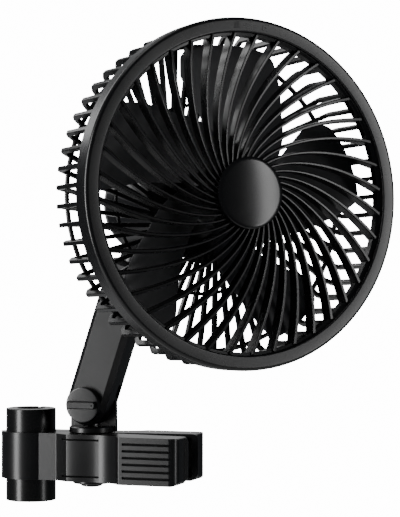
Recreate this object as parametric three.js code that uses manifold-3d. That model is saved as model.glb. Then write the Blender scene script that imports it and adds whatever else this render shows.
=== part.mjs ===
// Clip fan for a round pole. Millimetres; +Z runs up the pole, +X from the pole to the clip handles,
// -Y is the side with the tilt knob. The origin is on the pole axis at the middle of the jaws.
import * as THREE from 'three';
import { mergeVertices } from 'three/addons/utils/BufferGeometryUtils.js';
import Module from 'manifold-3d';

const wasm = await Module();
wasm.setup();
const { Manifold, Mesh } = wasm;

const DEG = Math.PI / 180;
const TURN = 2 * Math.PI;

// Clearances
const gap = 0.3; // pieces that seat or turn against each other
const slide = 0.15; // sleeve on the pole
const play = 0.5; // skirt of the front ring in the rim behind it

// Clip
const poleRadius = 8;
const sleeveRadius = 14.5;
const sleeveHeight = 53.5;
const sleeveSlit = 2;
const jawWall = 2.4;
const jawHeight = 27;
const jawFlange = 2;
const bandEndAngle = 172;
const jawSplit = 0.6; // inner edge of a jaw to the centre plane
const jawFace = [[21.5, 13.6], [29, 17.5], [56, 20.5], [63, 24.5], [94, 26]];
const jawHollow = 1;
const jawCorner = 5;
const jawLip = { reach: 1.2, thick: 1.5, slope: 0.7 };
const jawEndCorner = 3;
const webEnd = 19.5;
const handleEdge = 8.1; // inner edge of a handle to the centre plane, at its end
const gripGrooves = { count: 6, pitch: 3.82, height: 1.25, depth: 0.9, from: 65.5, to: 94.5 };
const faceSlots = { z: 10.5, height: 1, depth: 0.8, from: 26, to: 49 };

// Hinge and spring
const hingeX = 38;
const pinRadius = 2.5;
const frontLugRadius = 13;
const rearLugRadius = 9;
const rearLugThick = 2.2;
const washer = { radius: 10.8, thick: 1.9 };
const pinHead = { radius: 6.2, thick: 2 };
const recessDepth = 1.8; // of the pin's flat head in the bracket disc
const spring = { radius: 5.5, wire: 1.6, turns: 5, halfHeight: 6.3, reach: 61 };

// Swivel bracket and tilt joint
const bracketDisc = { radius: 13, thick: 3.5 };
const tongue = { halfWidth: 14, thick: 3.2, topRadius: 13.8 };
const tiltAxis = { y: -1.15, z: 30.3 };
const leanAngle = 18;

// Arm, seen along its own axis from the tilt axis
const arm = { halfWidth: 12.2, halfDepth: 9.75, top: 86, corner: 4, frontBevel: 3, rearBevel: 1 };
const armWall = 2;
const armSlotTop = 15;
const armCavity = { from: 17, to: 62, halfWidth: 9.8 };
const armScrewHeights = [24, 56];
const neckPivot = 120;

// Neck post and swing gears
const post = { radius: 6, from: 64, to: 103, bore: 3.2 };
const postFlange = { radius: 7.4, from: 70, thick: 3 };
const stubRadius = 2.4;
const gear = { module: 0.516, teeth: 26, pinionTeeth: 12, thick: 3 };
const gearDistance = gear.module * (gear.teeth + gear.pinionTeeth) / 2;

// Knob
const knob = { radius: 10.15, thick: 3.95, gripLength: 17.2, gripHeight: 4.6, gripDepth: 3 };
const hexSize = 8;
const nutThick = 3;

// Screws
const screw = { shaft: 1.2, head: 2.4, headThick: 1.5 };
const bossWall = 1.3;
const headDepth = 0.25; // of the arm's screw heads below its rear face

// Head: z forward along the fan axis from the neck axis, y up, x to the right seen from the front
const headPitch = 74;
const headYaw = 45;
const housing = { radius: 28.4, wall: 2, split: 8, front: 54.7 };
const frontWall = 2.5;
const socketDepth = 11.9; // length of the motor case held by the housing's front wall
const housingSegments = 24;
const neckBoss = { radius: 8.6, inner: -17.5 };
const backPanel = { radius: 14.8, thick: 2, rear: -16 };
const housingScrews = { circle: 23.2, angles: [20, 90, 160] };
const screwBite = 12; // depth of the pilot holes in the motor housing
const vent = { from: 19.8, to: 24.8, width: 1.4, angles: [42, 55, 68] };
const button = { x: 6.5, y: 4, radius: 2.7, flange: 3.6, travel: 0.8 };
const inlet = { y: -5, radius: 3.7, flange: 4.6, bore: 2.75, pin: 0.9, depth: 6.6 };
const board = { halfWidth: 10.5, bottom: 0.2, top: 9.8, rear: -11, thick: 1.6 };
const boardPegs = { radius: 0.7, foot: 1.2, spots: [[0, 1.5], [0, 8.4]] };

// Fan motor
const motor = { radius: 17, wall: 1.5, rear: 25.5, plate: 2.2, front: 51.9 };
const shaft = { radius: 1.5, from: 24.8, to: 101 };
const bearing = { radius: 5, thick: 2.6 };
const rotorSpan = [31.2, 45];
const rotorRadius = 11.3;
const swingMotor = { radius: 8, from: -11.4, to: -1, plate: 1.5, halfLength: 17.5, halfDepth: 6 };
const motorPost = { x: 14, radius: 2.2, pin: 1 };
const pinionShaft = 1;

// Fan blades
const hub = { radius: 15.5, wall: 1.8, rear: 74, front: 97 };
const bladeCount = 5;
const bladeThick = 1.6;
const bladeStations = [[14.6, 25, 9], [28, 29, 11], [50, 32, 12], [70, 30, 11.4], [78, 25, 9.5], [82, 15, 6]];
const bladeChord = [-1, -0.35, 0.35, 1];
const bladeTrail = 0.22; // degrees per millimetre of radius
const bladeTurn = 20; // of the first blade from the side of the fan
const hubWeb = { thick: 1.4, core: 4 };

// Guards
const rim = { inner: 88.8, width: 5.4, rear: 99.2, floor: 2, wall: 2.1 };
const hook = { count: 4, inset: 1.7, thick: 1.3, halfAngle: 4, top: 1.1 };
const tab = { halfAngle: 3, thick: 1.2 };
const ring = { segments: 36, rear: 108, front: 111.5, overhang: 0.3, chamfer: 1.2 };
const ringLip = { thick: 2.3, rear: 103.5, drop: 1.5 };
const skirt = { thick: 1.4, rear: 102 };
const vane = { count: 40, inner: 16.2, root: 1.2, sweep: 27, depth: 5.8, rear: 1.6, front: 0.9, steps: 4 };
const dome = { edge: 109.4, rise: 5.2 };
const grilleHub = { radius: 17.5, wall: 2, rear: 108, roof: 2.4, rise: 0.4 };
const cap = { radius: 19.2, front: 118.4, spigot: 3 };
const ribCount = 57;
const rib = { deep: 2.4, wide: 1.7 };
const ribTangent = 14; // the ribs of the rear face are tangent to a circle of this radius
const ribBend = { rise: 70.6, inset: 3, rear: 66.6 };
const cageHub = { inner: 22, outer: 31, thick: 3, segments: 24 };
const cageScrews = { count: 4, circle: 25, bite: 7 };

const finishes = {
  black: { color: 0x1b1c1e, roughness: 0.42, metalness: 0 },
  gloss: { color: 0x121315, roughness: 0.2, metalness: 0 },
  rubber: { color: 0x161616, roughness: 0.85, metalness: 0 },
  steel: { color: 0xb9bcc0, roughness: 0.35, metalness: 1 },
  brass: { color: 0xc9a255, roughness: 0.35, metalness: 1 },
  iron: { color: 0x55585c, roughness: 0.5, metalness: 1 },
  board: { color: 0x1d5a34, roughness: 0.5, metalness: 0 },
};

// ---------------------------------------------------------------- solids

function solidFrom(shape) {
  if (!(shape instanceof THREE.BufferGeometry)) return shape;
  const bare = shape.clone();
  bare.deleteAttribute('normal');
  bare.deleteAttribute('uv');
  const merged = mergeVertices(bare, 1e-5);
  const at = (i) => new THREE.Vector3().fromBufferAttribute(merged.getAttribute('position'), i);
  const corners = merged.getIndex().array;
  const kept = [];
  let volume = 0;
  for (let i = 0; i < corners.length; i += 3) {
    const [a, b, c] = [corners[i], corners[i + 1], corners[i + 2]];
    if (a === b || b === c || a === c) continue;
    kept.push([a, b, c]);
    volume += at(a).dot(at(b).cross(at(c)));
  }
  if (volume < 0) kept.forEach((triangle) => triangle.reverse());
  return new Manifold(new Mesh({
    numProp: 3,
    vertProperties: new Float32Array(merged.getAttribute('position').array),
    triVerts: new Uint32Array(kept.flat()),
  }));
}

function geometryFrom(shape) {
  const mesh = solidFrom(shape).getMesh();
  const geometry = new THREE.BufferGeometry();
  geometry.setAttribute('position', new THREE.BufferAttribute(new Float32Array(mesh.vertProperties), 3));
  geometry.setIndex(new THREE.BufferAttribute(new Uint32Array(mesh.triVerts), 1));
  geometry.computeVertexNormals();
  return geometry;
}

const join = (...shapes) => shapes.map(solidFrom).reduce((sum, next) => sum.add(next));
const cut = (base, ...tools) => tools.map(solidFrom)
  .reduce((rest, tool) => rest.subtract(tool), solidFrom(base));
const common = (...shapes) => shapes.map(solidFrom).reduce((rest, next) => rest.intersect(next));

function box(x0, x1, y0, y1, z0, z1) {
  const geometry = new THREE.BoxGeometry(x1 - x0, y1 - y0, z1 - z0);
  return geometry.translate((x0 + x1) / 2, (y0 + y1) / 2, (z0 + z1) / 2);
}

function cylinder(radius, from, to, sides = 12) {
  const start = new THREE.Vector3(...from);
  const end = new THREE.Vector3(...to);
  const along = end.clone().sub(start);
  const geometry = new THREE.CylinderGeometry(radius, radius, along.length(), sides);
  const turn = new THREE.Quaternion().setFromUnitVectors(new THREE.Vector3(0, 1, 0), along.clone().normalize());
  return geometry.applyQuaternion(turn).translate(...start.add(end).multiplyScalar(0.5));
}

const rod = (radius, x, y, z0, z1, sides) => cylinder(radius, [x, y, z0], [x, y, z1], sides);

// A turned piece about Z; the profile holds [radius, z] and is closed unless it begins on the axis.
function turned(profile, segments = 20) {
  const points = profile.map(([radius, z]) => new THREE.Vector2(radius, z));
  if (profile[0][0] > 0) points.push(points[0].clone());
  return new THREE.LatheGeometry(points, segments).rotateX(Math.PI / 2);
}

// A flat piece with its outline in XY, between two heights.
function plate(points, z0, z1) {
  const shape = new THREE.Shape(points.map(([x, y]) => new THREE.Vector2(x, y)));
  return new THREE.ExtrudeGeometry(shape, { depth: z1 - z0, bevelEnabled: false }).translate(0, 0, z0);
}

// A flat piece with its outline in XZ, between two depths.
function slab(points, y0, y1) {
  return plate(points, 0, y1 - y0).rotateX(Math.PI / 2).translate(0, y1, 0);
}

// A closed skin over rings of equal length; each end is filled from both sides inward.
function loft(rings) {
  const count = rings[0].length;
  const index = [];
  for (let r = 0; r < rings.length - 1; r += 1) {
    for (let k = 0; k < count; k += 1) {
      const a = r * count + k;
      const b = r * count + (k + 1) % count;
      index.push(a, b, a + count, b, b + count, a + count);
    }
  }
  const fill = (start, flip) => {
    let low = 0;
    let high = count - 1;
    while (high - low > 1) {
      const first = [low, low + 1, high];
      const second = high - low > 2 ? [low + 1, high - 1, high] : [];
      const both = [...first, ...second].map((k) => start + k);
      index.push(...(flip ? both.reverse() : both));
      low += 1;
      high -= 1;
    }
  };
  fill(0, true);
  fill((rings.length - 1) * count, false);
  const geometry = new THREE.BufferGeometry();
  const flat = rings.flat().flatMap((point) => [...point]);
  geometry.setAttribute('position', new THREE.Float32BufferAttribute(flat, 3));
  geometry.setIndex(index);
  return geometry;
}

function arc(radius, fromDegrees, toDegrees, steps, cx = 0, cy = 0) {
  const points = [];
  for (let i = 0; i <= steps; i += 1) {
    const angle = (fromDegrees + (toDegrees - fromDegrees) * i / steps) * DEG;
    points.push([cx + radius * Math.cos(angle), cy + radius * Math.sin(angle)]);
  }
  return points;
}

const around = (count, make) => Array.from({ length: count }, (_, i) => make(TURN * i / count, i));
const polar = (radius, angle, z) => new THREE.Vector3(radius * Math.cos(angle), radius * Math.sin(angle), z);
const mix = (a, b, t) => a + (b - a) * t;

// Moves an open path to its right-hand side by the inset, with mitred corners.
function insetPath(points, inset) {
  const normals = points.slice(1).map(([x, y], i) => {
    const length = Math.hypot(x - points[i][0], y - points[i][1]);
    return [(y - points[i][1]) / length, (points[i][0] - x) / length];
  });
  return points.map(([x, y], i) => {
    const before = normals[Math.max(i - 1, 0)];
    const after = normals[Math.min(i, normals.length - 1)];
    const scale = inset / (1 + before[0] * after[0] + before[1] * after[1]);
    return [x + (before[0] + after[0]) * scale, y + (before[1] + after[1]) * scale];
  });
}

function pathAt(points, x) {
  const next = points.findIndex((point) => point[0] >= x);
  const [a, b] = [points[next - 1], points[next]];
  return mix(a[1], b[1], (x - a[0]) / (b[0] - a[0]));
}

function addPiece(parent, name, shape, finish) {
  const material = new THREE.MeshStandardMaterial({ ...finishes[finish], flatShading: true });
  const mesh = new THREE.Mesh(geometryFrom(shape), material);
  mesh.name = name;
  parent.add(mesh);
}

// A screw along -Z with the underside of its head at z = 0.
function screwShape(length) {
  return turned([[0, -length], [screw.shaft, -length], [screw.shaft, 0], [screw.head, 0],
    [screw.head * 0.75, screw.headThick], [0, screw.headThick]], 8);
}

const screwHole = screw.shaft + gap;

// ---------------------------------------------------------------- clip

const boreRadius = poleRadius + slide;
const bandInner = sleeveRadius + gap;
const bandOuter = bandInner + jawWall;
const halfJaw = jawHeight / 2;
const pocketHalf = halfJaw - jawFlange;
const pinHole = pinRadius + gap;
const handleEnd = jawFace[4][0] + jawCorner;
const lugInner = pocketHalf - gap - rearLugThick;

function makeSleeve() {
  const halfSlit = sleeveSlit / 2;
  const outerStart = 90 + Math.asin(halfSlit / sleeveRadius) / DEG;
  const innerStart = 90 + Math.asin(halfSlit / boreRadius) / DEG;
  const outline = [
    ...arc(sleeveRadius, outerStart, 540 - outerStart, 32),
    ...arc(boreRadius, 540 - innerStart, innerStart, 24),
  ];
  return plate(outline, -sleeveHeight / 2, sleeveHeight / 2);
}

// Outer face of a jaw as [x, distance from the centre plane], from the valley beside the band to the end.
function facePath() {
  const [foot, brow, heel, step, tip] = jawFace;
  const valleyX = Math.sqrt(bandOuter ** 2 - foot[1] ** 2);
  const hollow = Array.from({ length: 5 }, (_, i) => [
    mix(brow[0], heel[0], i / 4),
    mix(brow[1], heel[1], i / 4) - jawHollow * Math.sin(Math.PI * i / 4),
  ]);
  const corner = arc(jawCorner, 90, 0, 3, tip[0], tip[1] - jawCorner).slice(1);
  return [[valleyX, foot[1]], foot, ...hollow, step, tip, ...corner];
}

// side is +1 for the jaw behind the pole axis and -1 for the one in front.
function jawBlank(side) {
  const face = facePath();
  const end = handleEnd + jawLip.reach;
  const valleyAngle = Math.asin(jawFace[0][1] / bandOuter) / DEG;
  const innerAngle = Math.asin(jawSplit / bandInner) / DEG;
  const outline = [
    ...arc(bandOuter, bandEndAngle, valleyAngle, 13).slice(0, -1),
    ...face,
    [handleEnd, handleEdge + jawLip.thick + jawLip.slope],
    [end, handleEdge + jawLip.thick],
    [end, handleEdge],
    [hingeX, jawSplit],
    ...arc(bandInner, innerAngle, bandEndAngle, 14),
  ].map(([x, d]) => [x, side * d]);
  const inside = insetPath(face, jawWall).filter(([x]) => x > webEnd);
  const floorDepth = jawFace[0][1] - jawWall;
  const pocket = [[webEnd, floorDepth], ...inside, [handleEnd - jawWall, -1], [webEnd, -1]];
  const corner = jawEndCorner;
  const sideOutline = [
    [-bandOuter - 1, -halfJaw], [end - corner, -halfJaw], [end, corner - halfJaw],
    ...arc(corner, 0, 90, 3, end - corner, halfJaw - corner), [-bandOuter - 1, halfJaw],
  ];
  const reach = jawFace[4][1] + 1;
  const body = common(plate(outline, -halfJaw, halfJaw), slab(sideOutline, -reach, reach));
  const hollowed = cut(body, plate(pocket.map(([x, d]) => [x, side * d]), -pocketHalf, pocketHalf));
  return cut(hollowed, ...faceCuts(face, side));
}

// Strips sunk into the outer face: the horizontal grip grooves and the two slots beside the hollow.
function faceCuts(face, side) {
  const strip = ({ from, to, depth, height }, z) => {
    const sunk = insetPath(face, depth);
    const knees = face.map(([x]) => x).filter((x) => x > from && x < to);
    const stations = [from, ...knees, to];
    const low = stations.map((x) => [x, side * pathAt(sunk, x)]);
    const high = stations.map((x) => [x, side * (pathAt(face, x) + 1)]).reverse();
    return plate([...low, ...high], z - height / 2, z + height / 2);
  };
  const { count, pitch } = gripGrooves;
  const grooves = Array.from({ length: count }, (_, i) => strip(gripGrooves, (i - (count - 1) / 2) * pitch));
  return [...grooves, strip(faceSlots, faceSlots.z), strip(faceSlots, -faceSlots.z)];
}

const bothEnds = (make) => [make(1), make(-1)];
const hingeRod = (radius, z0, z1, sides = 22) => {
  const [low, high] = [z0, z1].sort((a, b) => a - b);
  return rod(radius, hingeX, 0, low, high, sides);
};

function makeFrontJaw() {
  const lugs = bothEnds((end) => hingeRod(frontLugRadius, end * pocketHalf, end * halfJaw));
  return cut(join(jawBlank(-1), ...lugs), hingeRod(pinHole, -halfJaw - 1, halfJaw + 1, 14));
}

function makeRearJaw() {
  const reach = pathAt(insetPath(facePath(), jawWall / 2), hingeX - rearLugRadius);
  const lugs = bothEnds((end) => {
    const [z0, z1] = [end * lugInner, end * (pocketHalf + 0.5)].sort((a, b) => a - b);
    const web = box(hingeX - rearLugRadius, hingeX + rearLugRadius, 0, reach, z0, z1);
    return join(web, rod(rearLugRadius, hingeX, 0, z0, z1, 16));
  });
  const relief = bothEnds((end) => {
    const radius = frontLugRadius + 2 * gap;
    return hingeRod(radius, end * (pocketHalf - gap), end * (halfJaw + 1));
  });
  return cut(join(jawBlank(1), ...lugs), ...relief, hingeRod(pinHole, -halfJaw, halfJaw, 14));
}

// The pin is one piece with a domed head below the washer and a flat head sunk in the bracket disc.
const washerTop = -halfJaw - gap;
const discBottom = halfJaw + gap;
const discTop = discBottom + bracketDisc.thick;
const sunkHead = { radius: 5, thick: 1.2, floor: discTop - recessDepth };

function makePin() {
  const neckTop = washerTop - washer.thick - gap;
  const top = sunkHead.floor + gap;
  return turned([
    [0, neckTop - pinHead.thick], [pinHead.radius * 0.7, neckTop - pinHead.thick + 0.3],
    [pinHead.radius, neckTop - pinHead.thick * 0.4], [pinHead.radius, neckTop], [pinRadius, neckTop],
    [pinRadius, top], [sunkHead.radius, top], [sunkHead.radius, top + sunkHead.thick],
    [0, top + sunkHead.thick],
  ], 14).translate(hingeX, 0, 0);
}

function makeWasher() {
  const bottom = washerTop - washer.thick;
  const { radius } = washer;
  return turned([[pinHole, bottom], [radius, bottom], [radius, washerTop], [pinHole, washerTop]], 24)
    .translate(hingeX, 0, 0);
}

// Torsion spring: a coil about the pin whose legs push the two handles apart.
function springPath() {
  const wireRadius = spring.wire / 2;
  const seat = insetPath(facePath(), jawWall + wireRadius + gap);
  const tip = [spring.reach - hingeX, pathAt(seat, spring.reach)];
  const away = Math.atan2(tip[1], tip[0]) + Math.acos(spring.radius / Math.hypot(...tip));
  const sweep = TURN * (spring.turns + 1) - 2 * away;
  const steps = Math.round(sweep / TURN * 8);
  const coil = Array.from({ length: steps + 1 }, (_, i) => {
    const angle = -away - sweep * i / steps;
    const z = mix(-spring.halfHeight, spring.halfHeight, i / steps);
    return polar(spring.radius, angle, z);
  });
  const first = new THREE.Vector3(tip[0], -tip[1], -spring.halfHeight);
  const last = new THREE.Vector3(tip[0], tip[1], spring.halfHeight);
  return { coil, path: [first, ...coil, last].map((point) => point.setX(point.x + hingeX)) };
}

function makeSpring() {
  const { coil, path } = springPath();
  let least = Infinity;
  coil.forEach((point, i) => {
    coil.slice(i + 5).forEach((other) => {
      least = Math.min(least, point.distanceTo(other) - spring.wire);
    });
  });
  console.log(`torsion_spring: least gap to itself ${least.toFixed(2)} mm`);
  const up = new THREE.Vector3(0, 0, 1);
  const rings = path.map((point, i) => {
    const before = path[Math.max(i - 1, 0)];
    const after = path[Math.min(i + 1, path.length - 1)];
    const along = after.clone().sub(before).normalize();
    const across = along.clone().cross(up).normalize();
    const above = across.clone().cross(along);
    return around(5, (angle) => point.clone()
      .addScaledVector(across, Math.cos(angle) * spring.wire / 2)
      .addScaledVector(above, Math.sin(angle) * spring.wire / 2));
  });
  return loft(rings);
}

function makeBracket() {
  const y0 = tiltAxis.y + tongueFrom;
  const outline = [
    [-tongue.halfWidth, discBottom], [tongue.halfWidth, discBottom],
    ...arc(tongue.topRadius, 0, 180, 14, 0, tiltAxis.z),
  ].map(([x, z]) => [x + hingeX, z]);
  const disc = hingeRod(bracketDisc.radius, discBottom, discTop, 36);
  const upright = slab(outline, y0, y0 + tongue.thick);
  const boltHole = alongY(boltRadius + gap, hingeX, tiltAxis.z, y0 - 1, y0 + tongue.thick + 1, 14);
  const recess = hingeRod(sunkHead.radius + gap, sunkHead.floor, discTop + 1, 14);
  return cut(join(disc, upright), boltHole, recess, hingeRod(pinHole, discBottom - 1, discTop, 14));
}

// ---------------------------------------------------------------- arm (origin on the tilt axis, z up the arm)

const boltRadius = 2.5;
const partingY = 3.25;
const tongueFrom = partingY + gap;
const slotEnd = tongueFrom + tongue.thick + gap;
const frontFace = -arm.halfDepth;
const rearFace = arm.halfDepth;

function armRing(y, inset) {
  const width = arm.halfWidth - inset;
  const corner = arm.corner - inset;
  const top = arm.top - inset;
  const outline = [
    ...arc(width, 180, 360, 12),
    ...arc(corner, 0, 90, 3, width - corner, top - corner),
    ...arc(corner, 90, 180, 3, corner - width, top - corner),
  ];
  return outline.map(([x, z]) => new THREE.Vector3(x, y, z));
}

const alongY = (radius, x, z, y0, y1, sides) => cylinder(radius, [x, y0, z], [x, y1, z], sides);
const boltHoleY = () => alongY(boltRadius + gap, 0, 0, frontFace - 1, rearFace + nutThick + 1, 14);

// The two halves of the collar hold the flange of the neck post.
function collarBore() {
  const from = armCavity.to - 1;
  const flangeTop = postFlange.from + postFlange.thick;
  return join(
    rod(post.radius + gap, 0, 0, from, arm.top + 1, 16),
    rod(postFlange.radius + gap, 0, 0, postFlange.from - gap, flangeTop + gap, 16),
  );
}

function makeArmFront() {
  const end = partingY - 0.15;
  const bevel = arm.frontBevel;
  const blank = loft([armRing(frontFace, bevel), armRing(frontFace + bevel, 0), armRing(end, 0)]);
  const { from, to, halfWidth } = armCavity;
  const inner = frontFace + armWall;
  const hollow = cut(blank, box(-halfWidth, halfWidth, inner, end + 1, from, to));
  const bosses = armScrewHeights.map((z) => alongY(screwHole + bossWall, 0, z, inner - 0.5, end, 8));
  const pilots = armScrewHeights.map((z) => alongY(screwHole, 0, z, inner + 1, end + 1, 8));
  return cut(join(hollow, ...bosses), ...pilots, collarBore(), boltHoleY());
}

const armScrewSeat = rearFace - screw.headThick - headDepth;

function makeArmRear() {
  const bevel = arm.rearBevel;
  const blank = loft([armRing(partingY, 0), armRing(rearFace - bevel, 0), armRing(rearFace, bevel)]);
  const { from, to, halfWidth } = armCavity;
  const inner = rearFace - armWall;
  const side = arm.halfWidth + 1;
  const slot = box(-side, side, partingY - 1, slotEnd, -side, armSlotTop);
  const hollow = cut(blank, box(-halfWidth, halfWidth, partingY - 1, inner, from, to), slot);
  const head = screw.head + gap;
  const bosses = armScrewHeights.map((z) => alongY(head + bossWall, 0, z, partingY, inner + 0.5, 10));
  const holes = armScrewHeights.map((z) => alongY(screwHole, 0, z, partingY - 1, rearFace + 1, 8));
  const seats = armScrewHeights.map((z) => alongY(head, 0, z, armScrewSeat - gap, rearFace + 1, 10));
  return cut(join(hollow, ...bosses), ...holes, ...seats, collarBore(), boltHoleY());
}

function armScrew(z) {
  const length = armScrewSeat - frontFace - armWall - 2;
  return geometryFrom(screwShape(length)).rotateX(-Math.PI / 2).translate(0, armScrewSeat, z);
}

const gearFrom = post.to + gap;

function makePost() {
  const flangeTop = postFlange.from + postFlange.thick;
  const boreTop = post.to - 3;
  return turned([
    [post.bore, post.from], [post.radius, post.from], [post.radius, postFlange.from],
    [postFlange.radius, postFlange.from], [postFlange.radius, flangeTop], [post.radius, flangeTop],
    [post.radius, post.to], [stubRadius, post.to], [stubRadius, gearFrom + gear.thick + 0.1],
    [stubRadius / 2, gearFrom + gear.thick + 0.1], [stubRadius / 2, boreTop], [post.bore, boreTop],
  ], 14);
}

// Spur gear outline with slim teeth, so that the pair turns with backlash; a tooth points along +X.
function gearOutline(teeth) {
  const pitchRadius = gear.module * teeth / 2;
  const flank = [[-0.29, -1.2], [-0.1, 0.9], [0.1, 0.9], [0.29, -1.2]];
  return around(teeth, (angle) => flank.map(([part, height]) => {
    const at = angle + part * TURN / teeth;
    const radius = pitchRadius + height * gear.module;
    return [radius * Math.cos(at), radius * Math.sin(at)];
  })).flat();
}

function makeFixedGear() {
  const blank = plate(gearOutline(gear.teeth), gearFrom, gearFrom + gear.thick).rotateZ(-headYaw * DEG);
  return cut(blank, rod(stubRadius + gap, 0, 0, gearFrom - 1, gearFrom + gear.thick + 1, 12));
}

const hexagon = (across) => arc(across / 2 / Math.cos(30 * DEG), 0, 300, 5);

function makeNut() {
  const from = rearFace + gap;
  return cut(slab(hexagon(hexSize), from, from + nutThick), boltHoleY());
}

const knobSeat = frontFace - gap;
const knobFront = knobSeat - knob.thick;
const headUnder = knobSeat - 0.05;
const hexThick = 2.6;

function makeKnob() {
  const disc = alongY(knob.radius, 0, 0, knobFront, knobSeat, 36);
  const half = knob.gripLength / 2;
  const tall = knob.gripHeight / 2;
  const slopes = [[tall, 0.4], [tall * 0.65, -knob.gripDepth]];
  const rings = slopes.map(([z, y]) => [[-half, -z], [half, -z], [half, z], [-half, z]]
    .map(([x, w]) => new THREE.Vector3(x, knobFront + y, w)));
  const grip = loft(rings).rotateY(-leanAngle * DEG);
  const pocket = slab(hexagon(hexSize + 2 * gap), headUnder - hexThick - gap, knobSeat + 1);
  return cut(join(disc, grip), pocket);
}

function makeBolt() {
  const end = rearFace + gap + nutThick + 0.3;
  return join(
    slab(hexagon(hexSize), headUnder - hexThick, headUnder),
    alongY(boltRadius, 0, 0, headUnder - 0.5, end, 16),
  );
}

// ---------------------------------------------------------------- head

// Shapes given in the neck frame (z along the arm, -y forward), returned in the head frame.
const neckTurn = new THREE.Matrix4().makeRotationX(-headPitch * DEG);
const inNeck = (geometry) => geometry.applyMatrix4(neckTurn);
const neckRod = (radius, x, y, z0, z1, sides) => inNeck(rod(radius, x, y, z0, z1, sides));

const panelFront = backPanel.rear + backPanel.thick;
const ledge = { front: -11.9, inner: 12.8 };
const housingInner = housing.radius - housing.wall;
const domeOuter = [[housing.radius, housing.split], [housing.radius, -1], [27.1, -6.2], [23.2, -11.6],
  [backPanel.radius + gap + 1.5, backPanel.rear]];
const domeInner = [[18.6, ledge.front], [24.2, -7], [housingInner, -0.8], [housingInner, housing.split]];
const screwRecessFloor = -6.3;

const screwSpots = housingScrews.angles.map((angle) => [
  housingScrews.circle * Math.cos(angle * DEG), housingScrews.circle * Math.sin(angle * DEG)]);

function makeRearHousing() {
  const seat = backPanel.radius + gap;
  const shell = turned([...domeOuter, [seat, backPanel.rear], [seat, panelFront + gap],
    [ledge.inner, panelFront + gap], [ledge.inner, ledge.front], ...domeInner], housingSegments);
  const envelope = turned([[0, housing.split], ...domeOuter, [0, backPanel.rear]], housingSegments);
  const head = screw.head + gap;
  const boss = (x, y) => rod(head + bossWall, x, y, backPanel.rear, housing.split, 10);
  const bosses = screwSpots.map(([x, y]) => common(boss(x, y), envelope));
  const bossBottom = arm.top + gap - neckPivot;
  const neck = neckRod(neckBoss.radius, 0, 0, bossBottom, neckBoss.inner, 20);
  const inside = rod(housingInner + 0.8, 0, 0, ledge.front, housing.split, 24);
  const postTop = swingMotor.from - swingMotor.plate - gap;
  const upright = (side, radius, z0, z1) => neckRod(radius, side * motorPost.x, -gearDistance, z0, z1, 8);
  const posts = bothEnds((side) => common(upright(side, motorPost.radius, -25, postTop), inside));
  const pins = bothEnds((side) => upright(side, motorPost.pin, postTop - 1, postTop + 3));
  const holes = screwSpots.flatMap(([x, y]) => [
    rod(screwHole, x, y, backPanel.rear, housing.split + 1, 8),
    rod(head, x, y, backPanel.rear - 4, screwRecessFloor, 10),
  ]);
  const bore = neckRod(post.radius + gap, 0, 0, bossBottom - 1, neckBoss.inner + 1, 16);
  const ventBox = () => box(vent.from, vent.to, -vent.width / 2, vent.width / 2, backPanel.rear, -5);
  const vents = vent.angles.flatMap((angle) => [angle, 180 - angle])
    .map((angle) => ventBox().rotateZ(angle * DEG));
  return cut(join(shell, neck, ...bosses, ...posts, ...pins), bore, ...holes, ...vents);
}

function makeMotorHousing() {
  const { radius, front } = housing;
  const rear = housing.split + gap;
  const wallBack = front - frontWall;
  const socket = motor.radius + gap;
  const socketRear = motor.front - socketDepth;
  const shell = turned([[radius, rear], [radius, front - 1.2], [radius - 1.2, front], [3.5, front],
    [3.5, wallBack], [socket, wallBack], [socket, socketRear], [socket + 2, socketRear],
    [socket + 2, wallBack], [housingInner, wallBack], [housingInner, rear]], housingSegments);
  const bossRear = wallBack - cageScrews.bite - 1;
  const bossRadius = housingInner - housingScrews.circle + 0.4;
  const rearBosses = screwSpots.map(([x, y]) => rod(bossRadius, x, y, rear, rear + screwBite + 2, 8));
  const frontBosses = cageScrewSpots.map(([x, y]) => rod(screwHole + bossWall, x, y, bossRear, wallBack + 0.5, 8));
  const holes = [
    ...screwSpots.map(([x, y]) => rod(screwHole, x, y, rear - 1, rear + screwBite, 8)),
    ...cageScrewSpots.map(([x, y]) => rod(screwHole, x, y, wallBack - cageScrews.bite, front + 1, 8)),
  ];
  return cut(join(shell, ...rearBosses, ...frontBosses), ...holes);
}

const cageScrewSpots = around(cageScrews.count, (angle) => [
  cageScrews.circle * Math.cos(angle + TURN / 8), cageScrews.circle * Math.sin(angle + TURN / 8)]);

function makeBackPanel() {
  const disc = turned([[0, backPanel.rear], [backPanel.radius, backPanel.rear], [backPanel.radius, panelFront],
    [0, panelFront]], 20);
  const pegs = boardPegs.spots.flatMap(([x, y]) => [
    rod(boardPegs.foot, x, y, panelFront - 0.5, board.rear - gap, 8),
    rod(boardPegs.radius, x, y, panelFront, board.rear + board.thick + 0.4, 8),
  ]);
  const holes = bothEnds((side) => rod(button.radius + gap, side * button.x, button.y, -20, panelFront + 0.01, 12));
  const inletHole = rod(inlet.radius + gap, 0, inlet.y, -20, panelFront + 0.01, 14);
  return join(cut(disc, ...holes, inletHole), ...pegs);
}

function makeButton(side) {
  const rear = backPanel.rear - button.travel - 0.4;
  const flangeRear = panelFront + gap;
  const { radius, flange } = button;
  return turned([[0, rear], [radius - 0.4, rear], [radius, rear + 0.4], [radius, flangeRear],
    [flange, flangeRear], [flange, flangeRear + 1], [0, flangeRear + 1]], 12)
    .translate(side * button.x, button.y, 0);
}

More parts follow.
